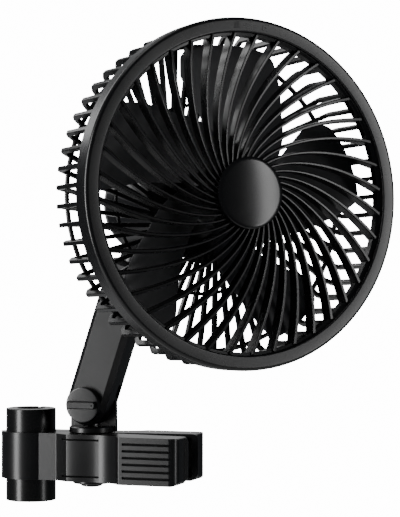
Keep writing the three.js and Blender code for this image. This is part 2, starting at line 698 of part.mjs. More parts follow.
function makeBoard() {
  const { halfWidth, bottom, top, rear, thick } = board;
  const blank = box(-halfWidth, halfWidth, bottom, top, rear, rear + thick);
  const switches = bothEnds((side) => {
    const x = side * button.x;
    return box(x - 1.5, x + 1.5, button.y - 1.5, button.y + 1.5, rear - 0.6, rear + 0.2);
  });
  const chip = box(-4.5, 4.5, 3, 6.4, rear + thick - 0.2, rear + thick + 1.2);
  const holes = boardPegs.spots.map(([x, y]) => rod(boardPegs.radius + gap, x, y, rear - 1, rear + thick + 1, 8));
  return cut(join(blank, ...switches, chip), ...holes);
}

function makeInlet() {
  const rear = backPanel.rear - 0.2;
  const flangeRear = panelFront + gap;
  const front = rear + inlet.depth;
  const { radius, flange, bore, pin } = inlet;
  const body = turned([[0, front], [radius, front], [radius, flangeRear + 1], [flange, flangeRear + 1],
    [flange, flangeRear], [radius, flangeRear], [radius, rear], [bore, rear], [bore, front - 1.2],
    [pin, front - 1.2], [pin, rear + 1.2], [0, rear + 1.2]], 12);
  return body.translate(0, inlet.y, 0);
}

// ---------------------------------------------------------------- motors

const seatInner = bearing.radius + gap;
const seatOuter = seatInner + 1.5;
const shaftHole = shaft.radius + 0.8;
const plateFront = motor.rear + motor.plate;
const caseRear = plateFront + gap;

function makeMotorCase() {
  const back = motor.front - motor.wall;
  const inner = motor.radius - motor.wall;
  const seatRear = back - bearing.thick - 1;
  const { radius, front } = motor;
  return turned([[radius, caseRear], [radius, front], [shaftHole, front], [shaftHole, back],
    [seatInner, back], [seatInner, seatRear], [seatOuter, seatRear], [seatOuter, back], [inner, back],
    [inner, caseRear]], 16);
}

function makeEndPlate() {
  const seatFront = plateFront + bearing.thick + gap;
  return turned([[shaftHole, motor.rear], [motor.radius, motor.rear], [motor.radius, plateFront],
    [seatOuter, plateFront], [seatOuter, seatFront], [seatInner, seatFront], [seatInner, plateFront],
    [shaftHole, plateFront]], 14);
}

function makeBearing(z) {
  const bore = shaft.radius + gap;
  const front = z + bearing.thick;
  return turned([[bore, z], [bearing.radius, z], [bearing.radius, front], [bore, front]], 12);
}

function makeMagnets() {
  const outer = motor.radius - motor.wall - gap;
  const inner = rotorRadius + play;
  const [rear, front] = rotorSpan;
  const magnets = turned([[inner, rear], [outer, rear], [outer, front], [inner, front]], 16);
  return cut(magnets, box(-1.5, 1.5, inner + 1.4, outer + 1, rear - 1, front + 1));
}

function makeRotor() {
  const [rear, front] = rotorSpan;
  const bore = shaft.radius + gap;
  const core = turned([[bore, rear], [rotorRadius, rear], [rotorRadius, front], [bore, front]], 15);
  const slots = around(5, (angle) => box(6, rotorRadius + 1, -1, 1, rear - 1, front + 1).rotateZ(angle));
  return cut(core, ...slots);
}

function makeSwingMotor() {
  const { radius, from, to, plate: thick, halfLength, halfDepth } = swingMotor;
  const centre = -gearDistance;
  const shell = join(
    rod(radius, 0, centre, from, to, 18),
    box(-halfLength, halfLength, centre - halfDepth, centre + halfDepth, from - thick, from + 0.01),
  );
  const pinHole = (x) => rod(motorPost.pin + gap, x, centre, from - thick - 1, from + 1, 8);
  const pinHoles = bothEnds((side) => pinHole(side * motorPost.x));
  return cut(shell, ...pinHoles, rod(pinionShaft + gap, 0, centre, from - thick - 1, from + 1.6, 10));
}

function makePinion() {
  const from = gearFrom - neckPivot;
  const blank = plate(gearOutline(gear.pinionTeeth), from, from + gear.thick)
    .rotateZ(Math.PI / gear.pinionTeeth);
  return join(blank, rod(pinionShaft, 0, 0, from, swingMotor.from + 1, 10));
}

// ---------------------------------------------------------------- fan

function bladeSection([radius, halfSpan, halfRise]) {
  const middle = (hub.rear + hub.front) / 2;
  const trail = (radius - bladeStations[0][0]) * bladeTrail;
  const edge = (side) => bladeChord.map((part) => {
    const angle = (trail + part * halfSpan) * DEG;
    const camber = bladeThick * (1 - part * part);
    const slim = side * (bladeThick / 2) * (1 - 0.45 * part * part);
    return polar(radius, angle, middle + part * halfRise + camber + slim);
  });
  return [...edge(1), ...edge(-1).reverse()];
}

function makeBlades() {
  const wallIn = hub.radius - hub.wall;
  const face = hub.front - 2;
  const bore = shaft.radius + gap;
  const shell = turned([[hub.radius, hub.rear], [hub.radius, hub.front - 1.5], [hub.radius - 1.5, hub.front],
    [bore, hub.front], [bore, hub.rear + 4], [hubWeb.core, hub.rear + 4], [hubWeb.core, face], [wallIn, face],
    [wallIn, hub.rear]], 15);
  const blade = () => loft(bladeStations.map(bladeSection)).rotateZ(bladeTurn * DEG);
  const blades = around(bladeCount, (angle) => blade().rotateZ(angle));
  const half = hubWeb.thick / 2;
  const web = () => box(hubWeb.core - 0.6, wallIn + 0.6, -half, half, hub.rear + 8, face + 0.5);
  const webs = around(bladeCount, (angle) => web().rotateZ(angle));
  return join(shell, ...blades, ...webs);
}

function makeBladeClip() {
  const from = hub.front + gap;
  const bore = shaft.radius + gap;
  return turned([[bore, from], [5, from], [5, from + 1.8], [3.4, from + 2.4], [3.4, shaft.to - 0.6],
    [bore, shaft.to - 0.6]], 12);
}

// ---------------------------------------------------------------- guards

// From the rim inward: the skirt runs inside the rim's wall, the hooks stand inside the rim, and the lip runs
// inside the hooks.
const rimOuter = rim.inner + rim.width;
const skirtOuter = rimOuter - rim.wall - play;
const skirtInner = skirtOuter - skirt.thick;
const hookInner = rim.inner - hook.inset;
const lipOuter = hookInner - play;
const lipInner = lipOuter - ringLip.thick;
const domeHeight = (radius) => dome.edge + dome.rise * (1 - (radius / lipOuter) ** 2);

// One blade-like vane of the spiral: a log spiral at a fixed angle to the radius.
function makeVane(start) {
  const slope = Math.tan(vane.sweep * DEG);
  const outer = lipInner + vane.root;
  const rings = Array.from({ length: vane.steps + 1 }, (_, i) => {
    const radius = vane.inner * (outer / vane.inner) ** (i / vane.steps);
    const angle = start - slope * Math.log(radius / vane.inner);
    const front = domeHeight(radius);
    const course = angle - vane.sweep * DEG;
    const across = new THREE.Vector3(-Math.sin(course), Math.cos(course), 0);
    const corner = (offset, z) => polar(radius, angle, z).addScaledVector(across, offset);
    const back = front - vane.depth;
    return [corner(-vane.front / 2, front), corner(vane.front / 2, front), corner(vane.rear / 2, back),
      corner(-vane.rear / 2, back)];
  });
  return loft(rings);
}

// A short block that follows a ring, between two radii and two heights.
function ringBlock(inner, outer, z0, z1, middle, halfAngle) {
  const outline = [...arc(outer, middle - halfAngle, middle + halfAngle, 2),
    ...arc(inner, middle + halfAngle, middle - halfAngle, 2)];
  return plate(outline, z0, z1);
}

const hookAngles = Array.from({ length: hook.count }, (_, i) => 45 + 360 * i / hook.count);
const tabInner = hookInner + hook.thick + gap;

const hubTop = domeHeight(grilleHub.radius) + grilleHub.rise;

function makeGrille() {
  const outer = rimOuter + ring.overhang;
  const ringShape = turned([
    [outer, ring.rear], [outer, ring.front - ring.chamfer], [outer - ring.chamfer, ring.front],
    [lipOuter, ring.front], [lipInner, ring.front - ringLip.drop], [lipInner, ringLip.rear],
    [lipOuter, ringLip.rear], [lipOuter, ring.rear],
    [skirtInner, ring.rear], [skirtInner, skirt.rear], [skirtOuter, skirt.rear], [skirtOuter, ring.rear],
  ], ring.segments);
  const { radius, wall, rear, roof } = grilleHub;
  const bore = cap.spigot + gap;
  const hubCup = turned([[radius, rear], [radius, hubTop], [bore, hubTop], [bore, hubTop - roof],
    [radius - wall, hubTop - roof], [radius - wall, rear]], 24);
  const vanes = around(vane.count, (angle) => makeVane(angle));
  const tabFront = skirt.rear + tab.thick;
  const tabs = hookAngles.map((middle) => ringBlock(tabInner, skirtInner + 0.8, skirt.rear, tabFront,
    middle, tab.halfAngle));
  return join(ringShape, hubCup, ...vanes, ...tabs);
}

function makeHubCap() {
  const rear = hubTop + gap;
  const { radius, front, spigot } = cap;
  return turned([[0, grilleHub.rear], [spigot, grilleHub.rear], [spigot, rear], [radius, rear],
    [radius, rear + 1.7], [radius - 0.9, front - 1.1], [radius * 0.6, front - 0.3], [0, front]], 24);
}

// A rib goes back from the rim's floor, bends and runs over the rear face into the ring at the housing.
const ribRadius = rim.inner + (rim.width - rim.wall) / 2;
const bendRadius = ribRadius - ribBend.inset;
const cageRear = housing.front + gap;

// Turn about the fan axis, from a rib's rim end, of its straight run across the rear face.
function ribTurn(radius) {
  return Math.acos(ribTangent / Math.max(radius, bendRadius)) - Math.acos(ribTangent / radius);
}

function makeRib(start) {
  const path = [[ribRadius, rim.rear + rim.floor / 2], [ribRadius, ribBend.rise], [bendRadius, ribBend.rear],
    [cageHub.outer - rib.deep / 2, cageRear + cageHub.thick / 2]];
  const centres = path.map(([radius, z]) => polar(radius, start + ribTurn(radius), z));
  const rings = centres.map((centre, i) => {
    const before = centres[Math.max(i - 1, 0)];
    const after = centres[Math.min(i + 1, centres.length - 1)];
    const along = after.clone().sub(before).normalize();
    const outward = new THREE.Vector3(centre.x, centre.y, 0).normalize();
    const side = outward.clone().cross(new THREE.Vector3(0, 0, 1));
    if (i > 1) side.set(along.y, -along.x, 0).normalize().negate();
    const deep = along.clone().cross(side).normalize();
    const corner = (a, b) => centre.clone()
      .addScaledVector(side, a * rib.wide / 2)
      .addScaledVector(deep, b * rib.deep / 2);
    return [corner(-1, -1), corner(1, -1), corner(1, 1), corner(-1, 1)];
  });
  return loft(rings);
}

function makeCage() {
  const floorTop = rim.rear + rim.floor;
  const wallInner = rimOuter - rim.wall;
  const rimFront = ring.rear - gap;
  const rimRing = turned([[rim.inner, rim.rear], [rimOuter, rim.rear], [rimOuter, rimFront],
    [wallInner, rimFront], [wallInner, floorTop], [rim.inner, floorTop]], ring.segments);
  const ribs = around(ribCount, makeRib);
  const cageFront = cageRear + cageHub.thick;
  const annulus = turned([[cageHub.inner, cageRear], [cageHub.outer, cageRear], [cageHub.outer, cageFront],
    [cageHub.inner, cageFront]], cageHub.segments);
  const holes = cageScrewSpots.map(([x, y]) => rod(screwHole, x, y, cageRear - 1, cageFront + 1, 8));
  const hookRear = skirt.rear + tab.thick + gap;
  const hooks = hookAngles.flatMap((middle) => [
    ringBlock(hookInner, hookInner + hook.thick, rim.rear, hookRear + hook.top, middle, hook.halfAngle),
    ringBlock(hookInner, rim.inner + 0.8, rim.rear, floorTop, middle, hook.halfAngle),
    ringBlock(hookInner, skirtInner - play, hookRear, hookRear + hook.top, middle, hook.halfAngle),
  ]);
  return cut(join(rimRing, annulus, ...ribs, ...hooks), ...holes);
}

// ---------------------------------------------------------------- assembly

const fan = new THREE.Group();
fan.name = 'clip_fan';

const clipGroup = new THREE.Group();
clipGroup.name = 'clip';
fan.add(clipGroup);
addPiece(clipGroup, 'pole_sleeve', makeSleeve(), 'rubber');
addPiece(clipGroup, 'front_jaw', makeFrontJaw(), 'black');
addPiece(clipGroup, 'rear_jaw', makeRearJaw(), 'black');
addPiece(clipGroup, 'torsion_spring', makeSpring(), 'steel');
addPiece(clipGroup, 'hinge_pin', makePin(), 'steel');
addPiece(clipGroup, 'hinge_washer', makeWasher(), 'black');
addPiece(clipGroup, 'swivel_bracket', makeBracket(), 'black');

const armGroup = new THREE.Group();
armGroup.name = 'tilt_arm';
armGroup.position.set(hingeX, tiltAxis.y, tiltAxis.z);
armGroup.rotation.y = leanAngle * DEG;
fan.add(armGroup);
addPiece(armGroup, 'arm_front_shell', makeArmFront(), 'black');
addPiece(armGroup, 'arm_rear_shell', makeArmRear(), 'black');
armScrewHeights.forEach((z, i) => addPiece(armGroup, `arm_screw_${i + 1}`, armScrew(z), 'steel'));
addPiece(armGroup, 'neck_post', makePost(), 'black');
addPiece(armGroup, 'fixed_gear', makeFixedGear(), 'black');
addPiece(armGroup, 'tilt_knob', makeKnob(), 'black');
addPiece(armGroup, 'tilt_bolt', makeBolt(), 'steel');
addPiece(armGroup, 'tilt_nut', makeNut(), 'steel');

const headGroup = new THREE.Group();
headGroup.name = 'fan_head';
headGroup.position.set(0, 0, neckPivot);
headGroup.rotation.set(headPitch * DEG, 0, headYaw * DEG, 'ZYX');
armGroup.add(headGroup);
addPiece(headGroup, 'rear_cage', makeCage(), 'black');
cageScrewSpots.forEach(([x, y], i) => {
  const seat = housing.front + gap + cageHub.thick + gap;
  const length = seat - (housing.front - frontWall - cageScrews.bite + 1);
  addPiece(headGroup, `cage_screw_${i + 1}`, geometryFrom(screwShape(length)).translate(x, y, seat), 'steel');
});
addPiece(headGroup, 'motor_housing', makeMotorHousing(), 'black');
addPiece(headGroup, 'rear_housing', makeRearHousing(), 'black');
screwSpots.forEach(([x, y], i) => {
  const length = housing.split + screwBite - 1 - screwRecessFloor;
  const shape = geometryFrom(screwShape(length)).rotateX(Math.PI).translate(x, y, screwRecessFloor - gap);
  addPiece(headGroup, `housing_screw_${i + 1}`, shape, 'steel');
});
addPiece(headGroup, 'back_panel', makeBackPanel(), 'black');
addPiece(headGroup, 'speed_button', makeButton(-1), 'rubber');
addPiece(headGroup, 'swing_button', makeButton(1), 'rubber');
addPiece(headGroup, 'circuit_board', makeBoard(), 'board');
addPiece(headGroup, 'power_inlet', makeInlet(), 'black');
addPiece(headGroup, 'motor_case', makeMotorCase(), 'steel');
addPiece(headGroup, 'motor_end_plate', makeEndPlate(), 'steel');
addPiece(headGroup, 'bearing_front', makeBearing(motor.front - motor.wall - gap - bearing.thick), 'brass');
addPiece(headGroup, 'bearing_rear', makeBearing(plateFront + gap), 'brass');
addPiece(headGroup, 'motor_magnets', makeMagnets(), 'iron');
addPiece(headGroup, 'motor_rotor', makeRotor(), 'iron');
addPiece(headGroup, 'motor_shaft', rod(shaft.radius, 0, 0, shaft.from, shaft.to, 12), 'steel');
addPiece(headGroup, 'swing_motor', inNeck(geometryFrom(makeSwingMotor())), 'steel');
const pinionShape = geometryFrom(makePinion()).translate(0, -gearDistance, 0);
addPiece(headGroup, 'swing_pinion', inNeck(pinionShape), 'brass');
addPiece(headGroup, 'fan_blade', makeBlades(), 'gloss');
addPiece(headGroup, 'blade_clip', makeBladeClip(), 'black');
addPiece(headGroup, 'front_grille', makeGrille(), 'black');
addPiece(headGroup, 'hub_cap', makeHubCap(), 'gloss');

export default fan;
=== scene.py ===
"""Looks of the clip fan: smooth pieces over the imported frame, their materials, studio light and camera.

Lengths are millimetres in the frame of the group that a piece belongs to, and place() turns them into the
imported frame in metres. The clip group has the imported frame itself, the arm group starts on the tilt axis with
z up the arm, and the head group starts on the neck axis with z forward along the fan. A profile is a list of
(radius, z), and GAP is the clearance between neighbours, as in the solids.
"""

import math

import bmesh
import bpy
import numpy as np
from mathutils import Matrix, Vector


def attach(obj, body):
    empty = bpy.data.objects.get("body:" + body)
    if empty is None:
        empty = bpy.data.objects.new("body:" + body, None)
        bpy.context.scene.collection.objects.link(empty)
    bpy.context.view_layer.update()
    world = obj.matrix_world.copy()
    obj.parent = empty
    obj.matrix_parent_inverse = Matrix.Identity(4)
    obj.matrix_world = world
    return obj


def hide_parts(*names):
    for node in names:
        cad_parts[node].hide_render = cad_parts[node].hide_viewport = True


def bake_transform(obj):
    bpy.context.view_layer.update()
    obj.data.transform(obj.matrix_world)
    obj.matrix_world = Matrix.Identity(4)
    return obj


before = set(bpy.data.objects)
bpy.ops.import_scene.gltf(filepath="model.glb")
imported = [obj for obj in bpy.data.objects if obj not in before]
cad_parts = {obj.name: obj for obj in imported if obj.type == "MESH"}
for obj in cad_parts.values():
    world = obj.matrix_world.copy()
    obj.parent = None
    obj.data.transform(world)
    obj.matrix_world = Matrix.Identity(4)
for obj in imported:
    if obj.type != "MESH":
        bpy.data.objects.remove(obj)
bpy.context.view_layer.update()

MM = 0.001
GAP = 0.3
ON_AXIS = 1e-6

# ---------------------------------------------------------------- groups

LEAN = math.radians(18)
PITCH = math.radians(74)
YAW = math.radians(45)
HINGE_X = 38.0
HINGE = Matrix.Translation((HINGE_X, 0, 0))
TO_Y = Matrix.Rotation(math.pi / 2, 4, "X")
TILT = Vector((HINGE_X, -1.15, 30.3))
NECK = 120.0

CLIP = Matrix.Identity(4)
ARM = Matrix.Translation(TILT) @ Matrix.Rotation(LEAN, 4, "Y")
NECK_AXIS = ARM @ Matrix.Translation((0, 0, NECK)) @ Matrix.Rotation(YAW, 4, "Z")
HEAD = NECK_AXIS @ Matrix.Rotation(PITCH, 4, "X")
NECK_TO_HEAD = Matrix.Rotation(-PITCH, 4, "X")

# ---------------------------------------------------------------- shapes as (points, faces)


def arc(radius, start, end, steps, cx=0.0, cy=0.0):
    """Points of a circular arc between two angles in degrees."""
    angles = np.radians(np.linspace(start, end, steps + 1))
    return [(cx + radius * math.cos(a), cy + radius * math.sin(a)) for a in angles]


def lathe(profile, segments=96):
    """A turned shape about Z from a closed profile of (radius, z); it may touch the axis."""
    points, faces, rows = [], [], []
    for radius, z in profile:
        if radius < ON_AXIS:
            rows.append([len(points)] * segments)
            points.append((0, 0, z))
            continue
        rows.append(list(range(len(points), len(points) + segments)))
        turn = np.linspace(0, 2 * math.pi, segments, endpoint=False)
        points += [(radius * math.cos(a), radius * math.sin(a), z) for a in turn]
    for i, row in enumerate(rows):
        after = rows[(i + 1) % len(rows)]
        if profile[i][0] < ON_AXIS and profile[(i + 1) % len(rows)][0] < ON_AXIS:
            continue
        for k in range(segments):
            n = (k + 1) % segments
            corners = [row[k], row[n], after[n], after[k]]
            faces.append(list(dict.fromkeys(corners)))
    return points, faces


def prism(outline, z0, z1):
    """An outline in XY between two heights."""
    count = len(outline)
    points = [(x, y, z0) for x, y in outline] + [(x, y, z1) for x, y in outline]
    faces = [list(range(count))[::-1], list(range(count, 2 * count))]
    faces += [[k, (k + 1) % count, count + (k + 1) % count, count + k] for k in range(count)]
    return points, faces


def slab(outline, y0, y1):
    """An outline in XZ between two depths."""
    points, faces = prism(outline, y0, y1)
    return [(x, z, y) for x, y, z in points], [face[::-1] for face in faces]


def loft(rings):
    """A skin over rings of equal length, with flat ends."""
    count = len(rings[0])
    points = [tuple(p) for ring in rings for p in ring]
    faces = [list(range(count))[::-1], list(range(len(points) - count, len(points)))]
    for r in range(len(rings) - 1):
        for k in range(count):
            a, b = r * count + k, r * count + (k + 1) % count
            faces.append([a, b, b + count, a + count])
    return points, faces


def rod(radius, x, y, z0, z1, sides=40):
    return prism(arc(radius, 0, 360 - 360 / sides, sides - 1, x, y), z0, z1)


def cuboid(x0, x1, y0, y1, z0, z1):
    return prism([(x0, y0), (x1, y0), (x1, y1), (x0, y1)], z0, z1)


def moved(shape, matrix):
    points, faces = shape
    return [tuple(matrix @ Vector(p)) for p in points], faces


def merged(shapes):
    points, faces = [], []
    for some, more in shapes:
        faces += [[len(points) + k for k in face] for face in more]
        points += some
    return points, faces


def around(count, make):
    return [make(2 * math.pi * i / count) for i in range(count)]


def polar(radius, angle, z):
    return Vector((radius * math.cos(angle), radius * math.sin(angle), z))


def turn_z(angle):
    return Matrix.Rotation(angle, 4, "Z")


def inset_path(path, inset):
    """An open path moved to its right-hand side, with mitred corners."""
    p = np.array(path, float)
    along = np.diff(p, axis=0)
    along /= np.linalg.norm(along, axis=1)[:, None]
    normal = np.stack([along[:, 1], -along[:, 0]], 1)
    before = np.vstack([normal[:1], normal])
    after = np.vstack([normal, normal[-1:]])
    scale = inset / (1 + (before * after).sum(1))
    return [tuple(q) for q in p + (before + after) * scale[:, None]]


def path_at(path, x):
    return float(np.interp(x, [p[0] for p in path], [p[1] for p in path]))


# ---------------------------------------------------------------- objects


def build(name, shape):
    """A mesh object in millimetres with its faces turned out."""
    points, faces = shape
    mesh = bpy.data.meshes.new(name)
    mesh.from_pydata([tuple(p) for p in points], [], faces)
    mesh.validate()
    obj = bpy.data.objects.new(name, mesh)
    bpy.context.scene.collection.objects.link(obj)
    fix_normals(obj)
    return obj


def fix_normals(obj):
    work = bmesh.new()
    work.from_mesh(obj.data)
    bmesh.ops.recalc_face_normals(work, faces=work.faces)
    work.to_mesh(obj.data)
    work.free()


def apply_modifiers(obj):
    bpy.context.view_layer.update()
    graph = bpy.context.evaluated_depsgraph_get()
    mesh = bpy.data.meshes.new_from_object(obj.evaluated_get(graph))
    obj.modifiers.clear()
    obj.data = mesh


def boolean(obj, shapes, operation):
    """Joins or cuts one shape after another."""
    for shape in shapes:
        tool = build("tool", shape)
        modifier = obj.modifiers.new("boolean", "BOOLEAN")
        modifier.operation = operation
        modifier.solver = "EXACT"
        modifier.object = tool
        apply_modifiers(obj)
        bpy.data.objects.remove(tool)


def cut(obj, *shapes):
    boolean(obj, shapes, "DIFFERENCE")


def weld(obj, *shapes):
    boolean(obj, shapes, "UNION")


def keep(obj, *shapes):
    boolean(obj, shapes, "INTERSECT")


def taken(obj):
    """The shape of an object, which is removed."""
    shape = ([tuple(v.co) for v in obj.data.vertices], [list(f.vertices) for f in obj.data.polygons])
    bpy.data.objects.remove(obj)
    return shape


def soften(obj, width, segments=2, angle=32):
    """Rounds the edges sharper than the angle."""
    modifier = obj.modifiers.new("bevel", "BEVEL")
    modifier.width = width
    modifier.segments = segments
    modifier.limit_method = "ANGLE"
    modifier.angle_limit = math.radians(angle)
    apply_modifiers(obj)
    return obj


def place(obj, group, body, material, nodes=(), smooth=35):
    """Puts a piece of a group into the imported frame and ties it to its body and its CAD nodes."""
    slot, look = MATERIALS[material]
    obj.data.transform(Matrix.Scale(MM, 4) @ group)
    fix_normals(obj)
    obj.data.materials.clear()
    obj.data.materials.append(look)
    obj.data.shade_smooth()
    obj.data.set_sharp_from_angle(angle=math.radians(smooth))
    obj.modifiers.new("even_shading", "WEIGHTED_NORMAL").keep_sharp = True
    apply_modifiers(obj)
    if body is not None:
        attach(obj, body)
    if nodes:
        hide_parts(*nodes)


# ---------------------------------------------------------------- materials


CLOUD_SCALE = 38
CLOUD_DETAIL = 5
UNEVEN = 0.06
DRIFT = 0.12
GRAIN_SCALE = 2500
GRAIN_DETAIL = 2
GRAIN_HEIGHT = 0.00006


def new_material(name, color, roughness, metallic=0.0, grain=0.0):
    """A moulded or metal surface: cloudy roughness, a slight drift in colour and a fine grain."""
    material = bpy.data.materials.new(name)
    material.use_nodes = True
    tree = material.node_tree
    link = tree.links.new
    shader = tree.nodes["Principled BSDF"]
    shader.inputs["Metallic"].default_value = metallic
    shader.inputs["Base Color"].default_value = (*color, 1)
    on_piece = tree.nodes.new("ShaderNodeTexCoord")
    clouds = tree.nodes.new("ShaderNodeTexNoise")
    clouds.inputs["Scale"].default_value = CLOUD_SCALE
    clouds.inputs["Detail"].default_value = CLOUD_DETAIL
    spread = tree.nodes.new("ShaderNodeMapRange")
    spread.inputs["To Min"].default_value = roughness - UNEVEN
    spread.inputs["To Max"].default_value = roughness + UNEVEN
    tint = tree.nodes.new("ShaderNodeMixRGB")
    tint.inputs["Color1"].default_value = (*(c * (1 - DRIFT) for c in color), 1)
    tint.inputs["Color2"].default_value = (*(min(1, c * (1 + DRIFT)) for c in color), 1)
    link(on_piece.outputs["Object"], clouds.inputs["Vector"])
    link(clouds.outputs["Fac"], spread.inputs["Value"])
    link(spread.outputs["Result"], shader.inputs["Roughness"])
    link(clouds.outputs["Fac"], tint.inputs["Fac"])
    link(tint.outputs["Color"], shader.inputs["Base Color"])
    if grain:
        speck = tree.nodes.new("ShaderNodeTexNoise")
        speck.inputs["Scale"].default_value = GRAIN_SCALE
        speck.inputs["Detail"].default_value = GRAIN_DETAIL
        bump = tree.nodes.new("ShaderNodeBump")
        bump.inputs["Strength"].default_value = grain
        bump.inputs["Distance"].default_value = GRAIN_HEIGHT
        link(on_piece.outputs["Object"], speck.inputs["Vector"])
        link(speck.outputs["Fac"], bump.inputs["Height"])
        link(bump.outputs["Normal"], shader.inputs["Normal"])
    return material


# Each key's slot, and its material's name, colour, roughness, metallic share and grain
FINISHES = {
    "satin": ("satin_black", "satin_black", (0.004, 0.004, 0.0044), 0.3, 0, 0.25),
    "grille": ("satin_black", "grille_black", (0.004, 0.004, 0.0044), 0.27, 0, 0.1),
    "gloss": ("gloss_black", "gloss_black", (0.004, 0.004, 0.0045), 0.2),
    "liner": ("rubber_liner", "liner_black", (0.004, 0.004, 0.004), 0.27, 0, 0.15),
    "key": ("button_rubber", "key_rubber", (0.03, 0.03, 0.031), 0.7, 0, 0.5),
    # The blades' colour is raised far above the other gloss black as painted light: it stands in for the light
    # that the vanes' shade keeps off the blades.
    "blade": ("gloss_black", "blade_black", (0.07, 0.07, 0.073), 0.36),
    "mark": ("gloss_black", "mark_grey", (0.05, 0.05, 0.05), 0.4),
    "steel": ("steel", "zinc_steel", (0.5, 0.51, 0.53), 0.32, 1),
    "brass": ("brass_parts", "turned_brass", (0.7, 0.52, 0.22), 0.3, 1),
    "iron": ("motor_iron", "motor_iron", (0.14, 0.14, 0.15), 0.5, 1),
    "board": ("board_green", "board_green", (0.02, 0.14, 0.05), 0.4),
}
MATERIALS = {key: (slot, new_material(*look)) for key, (slot, *look) in FINISHES.items()}

# ---------------------------------------------------------------- clip

BORE = 8.15
SLEEVE = 14.5
SLEEVE_HALF = 26.75
BAND_IN = SLEEVE + GAP
JAW_WALL = 2.4
BAND_OUT = BAND_IN + JAW_WALL
JAW_HALF = 13.5
POCKET_HALF = 11.5
BAND_END = 172
SPLIT = 0.6
# Foot, brow, heel, step and tip of a jaw's outer face, as (x, distance from the split)
JAW_FACE = [(21.5, 13.6), (29.5, 18.0), (61, 21.3), (63.4, 24.6), (94, 25.2)]
FACE_ROUND = 1.6
HOLLOW = 3.1
HOLLOW_LEAN = 1.5
CORNER = 5.0
LIP = 1.2
LIP_ROOT = 2.4
LIP_FACE = 1.4
END_ROUND = 3.0
END_BLEND = 1.4
END_SOFT = 0.4
JAW_SOFT = 0.35
WEB_END = 19.5
HANDLE_END = JAW_FACE[-1][0] + CORNER
HANDLE_EDGE = 8.1
GROOVES = {"count": 6, "pitch": 3.82, "height": 1.5, "depth": 1.0, "from": 66, "to": 95}
SLOT = {"z": 10.5, "height": 1.1, "depth": 0.8, "from": 26, "to": 49}
PIN_HOLE = 2.8
FRONT_LUG = 13.0
REAR_LUG = 9.0
LUG_INNER = 9.0
LUG_SINK = 0.5
SLIT_HALF = 1.0
OVER = 1.0
CUT_REACH = 28.0


def fillet(a, b, c, radius, steps=5):
    """The corner at b between a and c, rounded."""
    a, b, c = Vector(a), Vector(b), Vector(c)
    u, v = (a - b).normalized(), (c - b).normalized()
    half = u.angle(v) / 2
    reach = radius / math.tan(half)
    centre = b + (u + v).normalized() * radius / math.sin(half)
    start, end = b + u * reach - centre, b + v * reach - centre
    turn = Matrix.Rotation(-start.angle_signed(end) / steps, 2)
    points, spoke = [], start
    for _ in range(steps + 1):
        points.append(tuple(centre + spoke))
        spoke = turn @ spoke
    return points


def rounded(path, radius, steps=5):
    """An open path with every inner corner rounded."""
    points = [tuple(path[0])]
    for a, b, c in zip(path, path[1:], path[2:]):
        points += fillet(a, b, c, radius, steps)
    return points + [tuple(path[-1])]


def dished(steps):
    """The shallow hollow between the brow and the heel, deepest towards the heel."""
    brow, heel = JAW_FACE[1:3]
    points = []
    for t in np.linspace(0, 1, steps + 1):
        x, straight = (brow[k] + (heel[k] - brow[k]) * t for k in (0, 1))
        points.append((x, straight - HOLLOW * math.sin(math.pi * t**HOLLOW_LEAN)))
    return points


def face_valley():
    """Where the round band meets the foot of the face."""
    depth = JAW_FACE[0][1]
    return math.sqrt(BAND_OUT**2 - depth**2), depth


def end_corner(steps):
    x, depth = JAW_FACE[-1]
    return arc(CORNER, 90, 0, steps, x, depth - CORNER)[1:]


def jaw_face():
    """The jaw's outer face, from the band to the handle's end."""
    foot, brow, heel, step, tip = JAW_FACE
    dish = dished(16)[1:-1]
    lead = rounded([face_valley(), foot, brow, dish[0]], FACE_ROUND)
    tail = rounded([dish[-1], heel, step, tip], FACE_ROUND)
    return lead + dish[1:-1] + tail + end_corner(10)


def coarse_face():
    """The jaw's outer face with its plain corners, for what is set in from it."""
    return [face_valley(), JAW_FACE[0], *dished(8), *JAW_FACE[3:]] + end_corner(6)


def face_strip(face, side, z, height, depth, start, end):
    """A V-shaped cutter that follows the jaw's outer face at one height."""
    half = height / 2 * (depth + OVER) / depth
    rings = []
    for x in [start, *(x for x, _ in face if start < x < end), end]:
        d = path_at(face, x)
        outer = side * (d + OVER)
        rings.append([(x, outer, z + half), (x, outer, z - half), (x, side * (d - depth), z)])
    return loft(rings)


def jaw_blank(name, side):
    """A jaw with its round band, hollow inside; side is -1 for the front jaw and 1 for the rear jaw."""
    valley_angle = math.degrees(math.asin(JAW_FACE[0][1] / BAND_OUT))
    inner_angle = math.degrees(math.asin(SPLIT / BAND_IN))
    end = HANDLE_END + LIP
    outline = arc(BAND_OUT, BAND_END, valley_angle, 48)[:-1] + jaw_face()
    outline += [(HANDLE_END, HANDLE_EDGE + LIP_ROOT), (end, HANDLE_EDGE + LIP_FACE), (end, HANDLE_EDGE)]
    outline += [(HINGE_X, SPLIT)] + arc(BAND_IN, inner_angle, BAND_END, 56)
    low, turn = -JAW_HALF, END_ROUND + END_BLEND
    silhouette = [(-BAND_OUT - OVER, low), (end - turn, low), (end - END_ROUND, low + END_SOFT)]
    silhouette += [(end - END_SOFT, low + END_ROUND), (end, low + turn)]
    silhouette += arc(END_ROUND, 0, 90, 6, end - END_ROUND, JAW_HALF - END_ROUND)
    silhouette += [(-BAND_OUT - OVER, JAW_HALF)]
    inside = [p for p in inset_path(coarse_face(), JAW_WALL) if p[0] > WEB_END]
    pocket = [(WEB_END, JAW_FACE[0][1] - JAW_WALL), *inside, (HANDLE_END - JAW_WALL, -OVER), (WEB_END, -OVER)]
    obj = build(name, prism([(x, side * d) for x, d in outline], -JAW_HALF, JAW_HALF))
    keep(obj, slab(silhouette, -CUT_REACH, CUT_REACH))
    cut(obj, prism([(x, side * d) for x, d in pocket], -POCKET_HALF, POCKET_HALF))
    return obj


